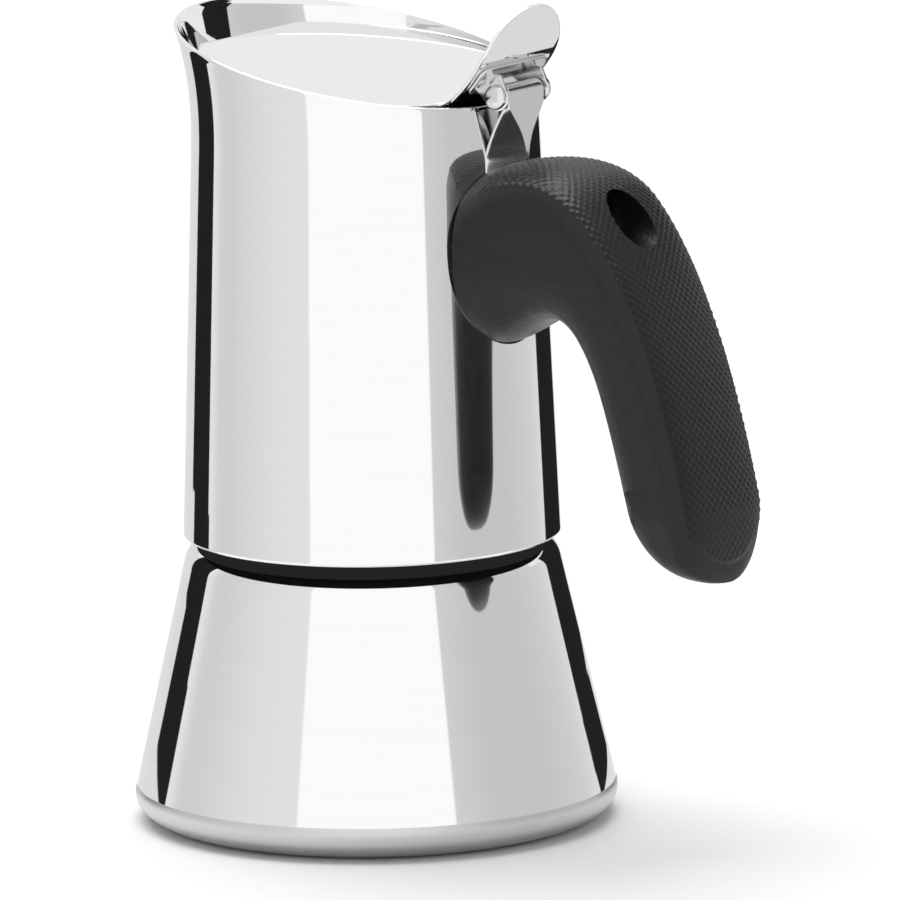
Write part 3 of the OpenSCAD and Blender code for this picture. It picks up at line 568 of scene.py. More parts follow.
class MOKA_OT_boiler(bpy.types.Operator):
    """Boiler wall with its threaded neck and the pressed seat of the safety valve"""
    bl_idname = "moka.boiler"
    bl_label = "Boiler"

    WALL_IN = 0.25                          # how far the wall's foot stands in from the base
    NECK_EDGE = 0.3                         # rounding of the neck's edge
    SEAT_SOFT, SEAT_DEEP = 1.1, 3.5         # width of the seat's soft edge, and its reach along the axis
    RIDGE_HALF, RIDGE_SUNK = 0.85, 0.3      # half width of the ridge, and its depth in the neck
    RIDGE_TURNS, RIDGE_FADE = 1.6, 0.06     # turns of the ridge, and the part of a turn in which it fades

    def tilt(self, s):
        """The cone's angle off the upright, in radians."""
        return math.atan((s.base_r - s.shoulder_r) / (s.shoulder_z - s.flare_z))

    def profile(self, s):
        """Radius and height up the outside of the wall, over the neck's edge and back down the inside: a
        flat floor, the lower corner's arc, the cone, the shoulder's arc and the upright neck."""
        corner = (s.base_r - s.corner_r - self.WALL_IN, s.floor_z + s.corner_r)
        tilt = math.degrees(self.tilt(s))
        centre = (s.shoulder_r - s.shoulder_round * math.cos(math.radians(tilt)),
                  s.shoulder_z - s.shoulder_round * math.sin(math.radians(tilt)))
        neck_in, inner_r, round_r = s.neck_r - s.wall_t, s.shoulder_round - s.wall_t, self.NECK_EDGE
        top = math.degrees(math.acos((s.neck_r - centre[0]) / s.shoulder_round))
        top_in = math.degrees(math.acos(max(-1, min(1, (neck_in - centre[0]) / inner_r))))
        low, high = arc(corner, s.corner_r, -90, tilt, 12), arc(centre, s.shoulder_round, tilt, top, 16)
        edge = arc((s.neck_r - round_r, s.neck_z - round_r), round_r, 0, 90, 4)
        edge_in = arc((neck_in + round_r, s.neck_z - round_r), round_r, 90, 180, 4)
        high_in = arc(centre, inner_r, top_in, tilt, 10)
        low_in = arc(corner, s.corner_r - s.wall_t, tilt, -90, 6)
        floor, floor_in = np.array([[0, s.floor_z]]), np.array([[0, s.floor_z + s.wall_t]])
        return np.concatenate([floor, line(floor[0], low[0], 5), low, line(low[-1], high[0], 90), high,
                               line(high[-1], edge[0], 8), edge, edge_in, line(edge_in[-1], high_in[0], 4),
                               high_in, line(high_in[-1], low_in[0], 12), low_in,
                               line(low_in[-1], floor_in[0], 5), floor_in])

    def press_seat(self, grid, s):
        """Every point near the valve's axis is moved along that axis onto one plane, with a soft edge. Points
        deeper than about half the wall belong to its inner face, and go to a plane of their own."""
        tilt = self.tilt(s)
        axis = np.array([0, math.cos(tilt), math.sin(tilt)])
        away = grid - [0, s.shoulder_r + (s.shoulder_z - s.valve_z) * math.tan(tilt), s.valve_z]
        along = away @ axis
        off = np.linalg.norm(away - along[..., None] * axis, axis=-1)
        weight = eased(np.clip((s.valve_seat_r + self.SEAT_SOFT - off) / self.SEAT_SOFT, 0, 1))
        weight *= abs(along) < self.SEAT_DEEP
        inside = along < -0.55 * s.wall_t - 0.02 * off ** 2
        rise = np.where(inside, s.valve_seat_rise - s.wall_t, s.valve_seat_rise)
        return grid + ((rise - along) * weight)[..., None] * axis

    def ridge(self, s, steps=180):
        """The thread: a trapezoid with rounded flanks, carried along a helix and sunk in the neck."""
        a = np.linspace(0, self.RIDGE_TURNS, steps + 1)[:, None]
        fade = np.clip(np.minimum(a, self.RIDGE_TURNS - a) / self.RIDGE_FADE, 0.02, 1)
        u = np.linspace(-1, 1, 13)
        out = eased(np.clip((1 - abs(u)) * 2.2, 0, 1))
        r = s.neck_r - self.RIDGE_SUNK + (self.RIDGE_SUNK + s.ridge_depth * fade) * out
        z = s.ridge_z + s.ridge_pitch * a + self.RIDGE_HALF * u
        turn = 2 * np.pi * a + 0 * u
        return capped(np.stack([r * np.cos(turn), r * np.sin(turn), z], -1))

    def execute(self, context):
        s = in_mm(context.scene.pot_boiler)
        seat = np.radians(np.linspace(73, 107, 101))    # closer columns about the seat, which faces +Y
        turns = np.unique(np.round(np.concatenate([full_turn(192)[0], seat]), 6))[None, :]
        grid = self.press_seat(revolve(self.profile(s), turns), s)
        piece = put_mesh("boiler_skin", grid, self.ridge(s))
        dress(piece, "steel_polished")
        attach(piece, "boiler")
        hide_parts("boiler_shell")
        return {"FINISHED"}


class MOKA_OT_base(bpy.types.Operator):
    """Rounded base cap"""
    bl_idname = "moka.base"
    bl_label = "Base cap"

    def profile(self, s):
        """The flat underside, an ellipse up the edge until it closes on the wall, a small rounded lip and the
        inner faces."""
        centre, size = (s.base_r - s.edge_in, s.edge_r), np.array([s.edge_in, s.edge_r])
        outer = centre + arc((0, 0), 1.0, -90, s.edge_turn, 28) * size
        inner = centre + arc((0, 0), 1.0, s.edge_turn, -90, 20) * (size - s.cap_t)
        lip = arc((outer[-1] + inner[0]) / 2, s.cap_t / 2, s.edge_turn, s.edge_turn + 180, 6)[1:-1]
        return np.concatenate([[[0, 0]], line((0, 0), outer[0], 8), outer, lip, inner,
                               line(inner[-1], (0, s.cap_t), 8), [[0, s.cap_t]]])

    def execute(self, context):
        s = in_mm(context.scene.pot_boiler)
        piece = put_mesh("base_skin", revolve(self.profile(s), full_turn(256)))
        dress(piece, "steel_base")
        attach(piece, "boiler")
        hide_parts("base_cap")
        return {"FINISHED"}


def wall_radius(c, z):
    """Radius of the collector's outer face at a height: the lower radius less the taper."""
    return c.low_r - c.taper * (z - c.low_z)


class MOKA_OT_collector(bpy.types.Operator):
    """Collector wall with its sloping rim and flared spout"""
    bl_idname = "moka.collector"
    bl_label = "Collector wall"

    FLARE_TURN, FLARE_UP = 3.3, 2.4         # powers of the flare over the turn and over the height
    NEAR_LIP = np.array([0.08, 0.3, 1.0, 2.5])  # extra rows this far above the lower lip
    EDGE_IN = 0.2                           # slant of the lower edge's inner corner

    def flare(self, c, turn, t):
        """Between the flare's start and the rim the wall is pushed out by the flare, times a power of
        (1 - cos a) / 2, times a power of t, where t goes from 0 at the start to 1 at the rim."""
        weight = ((1 - np.cos(turn)) / 2) ** self.FLARE_TURN
        plain = c.rim_z - c.rim_slope * wall_radius(c, c.rim_z) * np.cos(turn)
        rim_r = wall_radius(c, plain) + c.flare * weight
        rim_h = c.rim_z - c.rim_slope * rim_r * np.cos(turn)
        z = c.flare_z + (rim_h - c.flare_z) * t
        return wall_radius(c, z) + c.flare * weight * t ** self.FLARE_UP, z

    def wall(self, c, turn):
        """Rows of the section, each a radius and a height for every turn: the lower lip's arc, the wall, the
        flare, the rim's half circle, and the same way down the inside one sheet's thickness further in."""
        half = c.sheet_t / 2
        lip = arc((0, 0), 1, -90, 0, 7)[:, :, None]
        low_z = c.low_z + c.lip * (1 + lip[:, 1])
        above = c.low_z + c.lip
        up = np.concatenate([above + self.NEAR_LIP, np.linspace(above, c.flare_z, 12)[1:-1]])
        down = np.array([c.flare_z - 30, c.low_z + 12, c.low_z + 0.5])
        r, z = self.flare(c, turn, np.linspace(0, 1, 29)[:, None])
        z[-1] -= half
        a = np.radians(np.linspace(0, 180, 9))[1:-1, None]
        rows = [(wall_radius(c, low_z) - c.lip * (1 - lip[:, 0]), low_z),
                (wall_radius(c, up)[:, None], up[:, None]),
                (r, z),
                (r[-1] - half + half * np.cos(a), z[-1] + half * np.sin(a)),
                (r[::-1] - c.sheet_t, z[::-1]),
                (wall_radius(c, down)[:, None] - c.sheet_t, down[:, None]),
                (wall_radius(c, c.low_z) - c.sheet_t - self.EDGE_IN, np.array([[c.low_z]]))]
        return (np.concatenate([row[k] + 0 * turn for row in rows]) for k in range(2))

    def execute(self, context):
        c = in_mm(context.scene.pot_collector)
        turn = full_turn(300)
        r, z = self.wall(c, turn)
        grid = np.stack([r * np.cos(turn), r * np.sin(turn), z], -1)
        piece = put_mesh("collector_skin", grid, closed_rows=True)
        dress(piece, "steel_polished")
        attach(piece, "collector")
        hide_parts("collector_shell")
        return {"FINISHED"}


def lid_path(d):
    """The lid's line in X and Z: straight down the slope, the first bend, the long curve, the straight
    end."""
    tilt = math.degrees(math.atan(d.slope))
    low, high = math.radians(d.bend_low), math.radians(d.bend_high)
    long_c = tab_centre(d)
    small = long_c + (d.long_bend_r - d.small_bend_r) * np.array([math.sin(low), -math.cos(low)])
    end = long_c + d.long_bend_r * np.array([math.sin(high), -math.cos(high)])
    tip = end + d.tab_end * np.array([math.cos(high), math.sin(high)])
    spout = np.array([d.chord_x, d.top_z - d.slope * d.chord_x])
    first = arc(small, d.small_bend_r, -90 - tilt, d.bend_low - 90, 14)
    second = arc(long_c, d.long_bend_r, d.bend_low - 90, d.bend_high - 90, 26)
    return np.concatenate([[spout], line(spout, first[0], 60), first, second[1:],
                           line(second[-1], tip, 40), [tip]])


def tab_centre(d):
    """Centre of the tab's long curve in X and Z: from the tab's start on the slope up to the first bend's
    centre, then back along the line on which both bends meet."""
    tilt, low = math.atan(d.slope), math.radians(d.bend_low)
    x = d.tab_x + d.small_bend_r * (math.sin(tilt) + math.sin(low)) - d.long_bend_r * math.sin(low)
    z = (d.top_z - d.slope * d.tab_x + d.small_bend_r * (math.cos(tilt) - math.cos(low))
         + d.long_bend_r * math.cos(low))
    return np.array([x, z])


class MOKA_OT_lid(bpy.types.Operator):
    """Lid and thumb tab, pressed from one sheet"""
    bl_idname = "moka.lid"
    bl_label = "Lid"

    FILLET, FILLET_BACK = 3.2, 1.2          # length of the disc's turn into the tab, and its part on the disc
    SAME_PLACE = 1e-4                       # points closer than this along the path count once

    def half_widths(self, path, d):
        """Half width along the path: the disc's circle, then the tab, then the tab's half-round end."""
        s = distance_along(path)
        slope = math.hypot(1, d.slope)
        from_axis = s + d.chord_x * slope
        disc = np.sqrt(np.maximum(d.disc_r ** 2 - from_axis ** 2, 0))
        t = eased(np.clip((from_axis - (d.tab_x - self.FILLET_BACK) * slope) / self.FILLET, 0, 1))
        wide = disc * (1 - t) + d.tab_w * t
        left = s[-1] - s
        end = np.sqrt(np.maximum(d.tab_w ** 2 - np.maximum(d.tab_w - left, 0) ** 2, 0))
        return np.where(left < d.tab_w, end, np.maximum(wide, d.tab_w))

    def execute(self, context):
        d = in_mm(context.scene.pot_lid)
        path = lid_path(d)
        s = distance_along(path)
        straight = np.linspace(0, s[-1] - d.tab_w, 150)[:-1]
        rounded = s[-1] - d.tab_w * (1 - np.sin(np.linspace(0, np.pi / 2, 60)))
        fine = np.concatenate([straight, rounded])
        path = np.column_stack([np.interp(fine, s, path[:, 0]), np.interp(fine, s, path[:, 1])])
        path = path[np.concatenate([[True], np.diff(distance_along(path)) > self.SAME_PLACE])]
        grid = bent_strip(path, self.half_widths(path, d), d.sheet_t)
        piece = put_mesh("lid_skin", capped(rounded_end(grid, d.sheet_t)), sharp=50)
        dress(piece, "steel_polished")
        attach(piece, "lid")
        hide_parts("lid")
        return {"FINISHED"}


def about_pin(profile, h):
    """A profile of radius and distance along the pin, turned about the pin's axis."""
    grid = revolve(profile, full_turn(48))
    return np.stack([h.pin_x + grid[..., 0], grid[..., 2], h.pin_z + grid[..., 1]], -1)


class MOKA_OT_hinge(bpy.types.Operator):
    """Hinge pin with domed heads, the leaf with its rivets, and the folded bracket with its barrel"""
    bl_idname = "moka.hinge"
    bl_label = "Hinge"

    # half width of the bracket's front web, below the pin, where it doesn't reach the barrel's own
    WEB_DOWN = [-16.5, -13.4, -11.2, -9.4, -8.4, -7.5, -6.6, -5.7, -4.8, -3.9, -3.0, -2.1]
    WEB_HALF = [0.45, 0.47, 0.62, 1.0, 1.32, 1.72, 2.2, 2.78, 3.42, 4.1, 4.75, 5.3]
    # how far the free edge of the bracket's side stands behind the web, below the pin
    LEAN_DOWN = [-11.6, -9.1, -6.8, -4.25, -2.2, -1.6]
    LEAN_BACK = [5.05, 4.2, 3.2, 1.95, 0.75, 0.3]
    HEAD_EDGE, HEAD_SOFT = 0.35, 0.15       # upright edge under each head's dome, and its lower rounding
    RIVET_FLAT, RIVET_SUNK = 0.35, 0.3      # height of a rivet as a share of its radius, and its depth
    FOOT_CORNER, FOOT_GAP = 1.8, 0.03       # rounding of the leaf's foot, and its distance from the tab
    EAR_GAP, EAR_SOFT = 0.05, 0.12          # distance of the ear from the tab, and the softening of its edges
    LUG_TURNS = (38, -130)                  # turns about the pin between which the ear is round
    BARREL_TURN = 318                       # how far the barrel is rolled
    FLANGE_TOP = 1.6                        # end of the bracket's side below the pin

    def pin(self, h):
        """A plain shaft that ends in two domes: each dome is an arc from its rim up to the axis."""
        out = h.ear_y + h.sheet_t + self.EAR_GAP
        rim = out + self.HEAD_EDGE
        a = np.radians(np.linspace(0, 90, 17))[1:]
        dome = np.column_stack([h.head_r * np.cos(a), rim + (h.head_t - self.HEAD_EDGE) * np.sin(a)])
        half = np.concatenate([[[h.pin_r, 0], [h.pin_r, out], [h.head_r - self.HEAD_SOFT, out],
                                [h.head_r, out + self.HEAD_SOFT], [h.head_r, rim]], dome])
        return about_pin(np.concatenate([half[:0:-1] * [1, -1], half[1:]]), h)

    def rivet(self, y, h, d):
        """A low dome standing on the leaf's foot: a quarter circle, flattened, turned about the foot's
        normal."""
        a = np.radians(np.linspace(0, 90, 7))
        dome = h.rivet_r * np.column_stack([np.cos(a), self.RIVET_FLAT * np.sin(a)])
        foot = [[0, -self.RIVET_SUNK], [h.rivet_r, -self.RIVET_SUNK]]
        grid = revolve(np.concatenate([foot, dome]), full_turn(32))
        t = math.radians(h.rivet_turn)
        out, up = np.array([math.sin(t), 0, -math.cos(t)]), np.array([math.cos(t), 0, math.sin(t)])
        x, z = tab_centre(d)
        centre = np.array([x, y, z]) + (d.long_bend_r + d.sheet_t + h.foot_t) * out
        return centre + grid[..., :1] * up + grid[..., 1:2] * [0, 1, 0] + grid[..., 2:] * out

    def foot(self, h, d):
        """The leaf's foot: a sheet bent along the tab's back, with rounded corners."""
        radius = d.long_bend_r + d.sheet_t + self.FOOT_GAP
        path = arc(tab_centre(d), radius, h.foot_low - 90, h.foot_high - 90, 40)
        s = np.radians(np.linspace(0, h.foot_high - h.foot_low, 41)) * radius
        corner = self.FOOT_CORNER
        drawn = np.maximum(corner - np.minimum(s, s[-1] - s), 0)
        return capped(bent_strip(path, h.foot_w - corner + np.sqrt(corner ** 2 - drawn ** 2), h.foot_t))

    def ear(self, side, h, d):
        """The leaf's ear: along the tab's back, over a flat top, round the pin and back, as a flat plate with
        softened edges."""
        pin = np.array([h.pin_x, h.pin_z])
        radius = d.long_bend_r + d.sheet_t + self.EAR_GAP
        along_tab = arc(tab_centre(d), radius, h.foot_low - 90, h.ear_high - 90, 16)
        over = np.array([[h.pin_x + 0.85, h.ear_top], [h.pin_x + 1.35, h.ear_top - 1.0]])
        lug = arc(pin, h.lug_r, *self.LUG_TURNS, 36)
        outline = np.concatenate([along_tab, over, lug, line(lug[-1], along_tab[0], 8)])
        middle = pin + [-1.0, 1.3]
        inner, outer, soft = h.ear_y, h.ear_y + h.sheet_t, self.EAR_SOFT
        share, y = np.array([(0.0, inner), (0.96, inner), (1.0, inner + soft), (1.0, outer - soft),
                             (0.96, outer), (0.0, outer)]).T[..., None]
        x, z = (middle[k] + share * (outline[:, k] - middle[k]) for k in range(2))
        return np.stack([x, side * y + 0 * x, z], -1)

    def web_width(self, z, h):
        """Half width of the bracket's front web: very narrow low down, widening to the barrel."""
        return np.interp(z, h.pin_z + np.array([*self.WEB_DOWN, 0]), [*self.WEB_HALF, h.barrel_w])

    def flange(self, side, h, c, rows=45, columns=15):
        """The bracket's side: at every height a straight line from the web's edge to the free edge, which
        lies on the collector low down and comes forward to the web higher up. The back face lies one sheet's
        thickness behind, and a half circle joins the two along the free edge."""
        z = np.linspace(h.wing_low, h.pin_z - self.FLANGE_TOP, rows)
        web_x = h.pin_x + h.barrel_r
        crease = np.stack([web_x - 0.06 + 0 * z, np.maximum(self.web_width(z, h) - 0.12, 0.2)], -1)
        wall_x = np.sqrt(wall_radius(c, z) ** 2 - h.wing_y ** 2) + 0.2
        lean = np.interp(z, h.pin_z + np.array(self.LEAN_DOWN), web_x - np.array(self.LEAN_BACK))
        free = np.stack([np.maximum(lean, wall_x), h.wing_y + 0 * z], -1)
        t = np.linspace(0, 1, columns)[:, None]
        front = crease[:, None] * (1 - t) + free[:, None] * t
        run = free - crease
        run /= np.linalg.norm(run, axis=1)[:, None]
        inward = np.stack([-run[:, 1], run[:, 0]], -1)
        inward *= -np.sign(inward[:, :1])
        half = h.sheet_t / 2
        a = np.radians(np.linspace(90, -90, 7))[1:-1]
        edge = half * (np.cos(a)[:, None] * run[:, None] - np.sin(a)[:, None] * inward[:, None])
        edge += (free + half * inward)[:, None]
        back = front[:, ::-1] + h.sheet_t * inward[:, None]
        loop = np.concatenate([front, edge, back], axis=1)
        grid = np.concatenate([loop[..., :1], side * loop[..., 1:], z[:, None, None] + 0 * loop[..., :1]], -1)
        return capped(grid)

    def front(self, h):
        """The bracket's front web, carried up and rolled round the pin, as one bent sheet."""
        start = np.array([h.pin_x + h.barrel_r, h.wing_low])
        roll = arc((h.pin_x, h.pin_z), h.barrel_r, 0, self.BARREL_TURN, 60)
        path = np.concatenate([[start], line(start, roll[0], 60), roll])[::-1]
        upright = path[:, 0] > h.pin_x + h.barrel_r - 1e-3
        widths = np.where(upright, self.web_width(path[:, 1], h), h.barrel_w)
        return capped(bent_strip(path, widths, h.sheet_t))

    def execute(self, context):
        scene = context.scene
        h, c, d = in_mm(scene.pot_hinge), in_mm(scene.pot_collector), in_mm(scene.pot_lid)
        sides = (-1, 1)
        pin = put_mesh("pin_skin", self.pin(h))
        leaf = put_mesh("leaf_skin", self.foot(h, d), *(self.ear(side, h, d) for side in sides),
                        *(self.rivet(side * h.rivet_y, h, d) for side in sides), sharp=40)
        bracket = put_mesh("bracket_skin", self.front(h), *(self.flange(side, h, c) for side in sides),
                           sharp=50)
        for piece, body, node in ((pin, "lid", "hinge_pin"), (leaf, "lid", "lid_leaf"),
                                  (bracket, "collector", "hinge_bracket")):
            dress(piece, "steel_satin")
            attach(piece, body)
            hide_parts(node)
        return {"FINISHED"}


class HandleShape:
    """The handle as a loft: an outer and an inner line in X and Z, a half width, and a section whose outer
    half is squarer than its inner half."""

    QUARTER = np.pi / 4                     # the outer face reaches this far to both sides of its middle
    FACE_COLUMNS, BACK_COLUMNS = 91, 74
    PLAIN_EDGE, PLAIN_TIP = 0.07, 3.4       # share of the face's edge, and length of its tip, left plain
    PLAIN_ROOT, GROOVE_UP = 3.0, 0.06       # length left plain at the collector, and the grooves' own height
    SADDLE = 0.1                            # distance of the handle's root from the collector's wall

    def __init__(self, g, c):
        """Sizes that the lines share: where they start in the collector and where the limb starts."""
        self.g, self.c = g, c
        boss_z = g.top_z - g.boss_r - 2.4
        self.x0 = wall_radius(c, boss_z) - 2.5
        self.limb = g.tip_z + g.half_w + 0.8
        self.out, self.inside = g.reach - 0.7, g.reach - g.depth - 0.6
        self.tip_x = g.reach + 0.75
        self.boss_low = boss_z - g.boss_r
        self.boss_w = g.boss_r - 0.8

    def joined(self, first, second, t):
        """Two cubic curves, one after the other: the first for t up to a half, the second from there."""
        first, second = bezier(first, np.clip(2 * t, 0, 1)), bezier(second, np.clip(2 * t - 1, 0, 1))
        return np.where((t < 0.5)[:, None], first, second)

    def outer(self, t):
        """From the collector over the top to the knee, then down the limb's outer side."""
        top, x0, limb = self.g.top_z, self.x0, self.limb
        knee = np.array([x0 + 27.3, top - 6.4])
        return self.joined([[x0, top - 2.4], [x0 + 11, top + 0.5], [x0 + 20, top + 1.8], knee],
                           [knee, knee + [7.4, -8], [self.g.reach - 7.6, limb + 31], [self.out, limb]], t)

    def inner(self, t):
        """From the boss's lower edge along the underside to its lowest place, then down the limb's inner
        side."""
        x0, low, limb = self.x0, self.boss_low, self.limb
        under = np.array([x0 + 17, self.g.top_z - self.g.under_drop])
        return self.joined([[x0, low], [x0 + 6, low - 0.6], under - [6.4, 0], under],
                           [under, under + [8.4, 0], [self.inside - 4, limb + 14.6], [self.inside, limb]], t)

    def width(self, t):
        """Half width: from the boss's to the limb's, with a slight swelling at the knee."""
        return (self.boss_w + (self.g.half_w - self.boss_w) * np.minimum(1, 1.6 * t)
                + 0.5 * np.sin(np.pi * np.clip(2 * t - 0.5, 0, 1)))

    def tip(self, x, a, roundness, bulge):
        """The limb's end: a quarter of a rounded oval from a line's last point to the tip."""
        across = self.tip_x + (x - self.tip_x) * np.cos(a) ** roundness + bulge * np.sin(a) * np.cos(a)
        return np.column_stack([across, self.limb + (self.g.tip_z - self.limb) * np.sin(a)])

    def rows(self, step=0.278, tip_rows=44, tip_end=88.5):
        """Outer points, inner points, half widths and the two squarenesses along the whole handle, at even
        steps along the outer line."""
        fine = np.linspace(0, 1, 2001)
        run = distance_along(self.outer(fine))
        t = np.interp(np.linspace(0, run[-1], int(run[-1] / step) + 1), run, fine)
        a = np.radians(tip_end) * np.linspace(0, 1, tip_rows + 1)[1:]
        outer = np.concatenate([self.outer(t), self.tip(self.out, a, 0.62, 1.2)])
        inner = np.concatenate([self.inner(t), self.tip(self.inside, a, 0.72, 2.6)])
        width = np.concatenate([self.width(t), self.width(t[-1:]) * np.cos(a) ** 0.67])
        square_out = np.concatenate([2.6 + 4.4 * np.minimum(1, 2.2 * t), 7 - 4 * np.sin(a)])
        square_in = np.concatenate([2 + np.minimum(1, 2.4 * t), 3 - 0.6 * np.sin(a)])
        return outer, inner, width, square_out, square_in

    def point(self, outer, inner, width, square_out, square_in, turn):
        """A point of the section in the direction 'turn' from its middle: the radius of a superellipse in
        that direction, (|cos|^q + |sin|^q)^(-1/q), stretched to the half depth and the half width. The outer
        half is raised by the crown's share of the half depth, most along its middle."""
        cosine, sine = np.cos(turn), np.sin(turn)
        q = np.where(cosine >= 0, square_out, square_in)
        rho = (abs(cosine) ** q + abs(sine) ** q) ** (-1 / q)
        u, v = rho * cosine, rho * sine
        middle, half = (inner + outer) / 2, (outer - inner) / 2
        depth = np.where(u > 0, u * (1 + self.g.crown * (1 - v * v)), u)
        return np.stack([middle[..., 0] + half[..., 0] * depth, width * v * (1 + 0.06 * u),
                         middle[..., 1] + half[..., 1] * depth], -1)

    def outward(self, grid):
        """The surface's normal at every point of the loft, turned away from the section's middle."""
        across = np.roll(grid, -1, axis=1) - np.roll(grid, 1, axis=1)
        normal = np.cross(np.gradient(grid, axis=0), across)
        normal /= np.maximum(np.linalg.norm(normal, axis=-1), 1e-9)[..., None]
        middle = grid.mean(axis=1, keepdims=True)
        return normal * np.sign(((grid - middle) * normal).sum(axis=-1))[..., None]

    def diamonds(self, grid, along, turn):
        """Height of the diamond pattern: the sum of two cosines whose lines cross, and a weaker one that runs
        straight across. It fades out towards the face's edges, the tip and the collector."""
        y, aside = grid[..., 1], abs(turn) / self.QUARTER
        edge = eased(np.clip((1.0 - aside) / self.PLAIN_EDGE, 0, 1) * (aside < 1))
        end = np.clip((grid[..., 2] - (self.g.tip_z + self.PLAIN_TIP + 0.05 * y * y)) / 0.45, 0, 1)
        panel = edge * end * np.clip((along - self.PLAIN_ROOT) / 2.0, 0, 1)
        down, over = 2 * np.pi * along / self.g.knurl_along, 2 * np.pi * y / self.g.knurl_across
        first, second = 0.945 * down - 1.117 * over, 1.052 * down + 0.987 * over
        wave = 0.45 * np.cos(first) + 0.4 * np.cos(second) + 0.15 * np.cos(first + second)
        return panel * (self.GROOVE_UP + self.g.knurl_rise * (0.5 + 0.5 * wave))

    def skin(self):
        """The whole loft, with the pattern raised on its outer face, which has even steps across for it."""
        outer, inner, *section = self.rows()
        face = np.arctan(np.linspace(-1, 1, self.FACE_COLUMNS))
        back = np.linspace(self.QUARTER, 7 * self.QUARTER, self.BACK_COLUMNS)[1:-1]
        turn = np.concatenate([face, back])[None, :]
        grid = self.point(outer[:, None], inner[:, None], *(value[:, None] for value in section), turn)
        rise = self.diamonds(grid, distance_along(outer)[:, None], turn)
        return self.saddled(grid + rise[..., None] * self.outward(grid))

    def saddled(self, grid):
        """Closes both ends, then pushes whatever is inside the collector out to its wall, along X."""
        middle = grid[0].mean(axis=0)
        root = middle + (grid[0] - middle) * np.linspace(0, 1, 12)[:-1, None, None]
        grid = np.concatenate([root, grid, np.broadcast_to(grid[-1].mean(axis=0), (1, *grid[-1].shape))])
        r = wall_radius(self.c, grid[..., 2]) + self.SADDLE
        at_wall = np.sqrt(np.maximum(r * r - grid[..., 1] ** 2, 0))
        grid[..., 0] = np.maximum(grid[..., 0], at_wall)
        return grid


class MOKA_OT_handle(bpy.types.Operator):
    """Moulded handle with its screw's access hole"""
    bl_idname = "moka.handle"
    bl_label = "Handle"

    def execute(self, context):
        g, c = in_mm(context.scene.pot_handle), in_mm(context.scene.pot_collector)
        piece = put_mesh("handle_skin", HandleShape(g, c).skin(), sharp=60)
        near, far = g.access_x, g.reach + 10
        drill = revolve(np.array([[0, near], [g.access_r, near], [g.access_r, far], [0, far]]), full_turn(64))
        drill = np.stack([drill[..., 2], drill[..., 0], g.top_z - g.screw_drop + drill[..., 1]], -1)
        cutter = put_mesh("access_drill", drill)
        cut = piece.modifiers.new("access", "BOOLEAN")
        cut.operation, cut.object, cut.solver = "DIFFERENCE", cutter, "EXACT"
        settled(piece, 40)
        bpy.data.objects.remove(cutter)
        dress(piece, "plastic_black")
        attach(piece, "collector")
        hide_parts("handle")
        return {"FINISHED"}


# construction solids that stay as they are, each with its finish
CARRIED_OVER = {
    "heat_spreader": "aluminium_cast", "valve_body": "brass_turned", "valve_seal": "seal_red",
    "valve_nut": "brass_turned", "valve_cap": "brass_turned", "valve_plunger": "brass_turned",
    "valve_spring": "steel_sheet", "funnel": "steel_turned", "funnel_screen": "steel_turned",
    "gasket": "gasket_pale", "filter_plate": "steel_turned", "collector_base": "steel_turned",
    "coffee_column": "steel_turned", "column_cap": "steel_turned",
    "handle_bush": "zinc_plate", "handle_screw": "zinc_plate", "handle_washer": "zinc_plate",
}


class MOKA_OT_finishes(bpy.types.Operator):
    """Finishes of the pieces that keep their construction solids"""
    bl_idname = "moka.finishes"
    bl_label = "Inner pieces"

    def shorten_spring(self):
        """Works out, from the valve_lift joint, the share of the valve spring's length that the plunger's
        rise would leave, and gives the spring a mesh of its own; the spring's points are not moved.
        """
        spring = frame["nodes"]["valve_spring"]
        joint = next(j for j in frame["record"]["behaviour"]["joints"] if j["name"] == "valve_lift")
        axis, travel = joint["axis"], joint["range_m"][1]
        points = np.empty(3 * len(spring.data.vertices), np.float32)
        spring.data.vertices.foreach_get("co", points)
        points = points.reshape(-1, 3)
        along = points @ np.array(axis, float)
        keep = 1 - travel / (along.max() - along.min())
        tuple(map(float, points[along.argmax()]))
        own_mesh(spring)

    def execute(self, context):
        for node, key in CARRIED_OVER.items():
            dress(frame["nodes"][node], key)
        self.shorten_spring()
        return {"FINISHED"}


# ---- stage ----

def glow(name, strength):
    """A surface that gives out plain light."""
    f = Finish(name)
    return f.shown(f.light(strength))


def stood(data, axes, place):
    """Puts a lamp or camera at a place, its own X, Y and Z along three given directions."""
    thing = bpy.data.objects.new(data.name, data)
    bpy.context.scene.collection.objects.link(thing)
    thing.matrix_world = Matrix([(*(axis[k] for axis in axes), place[k]) for k in range(3)] + [(0, 0, 0, 1)])
    return thing


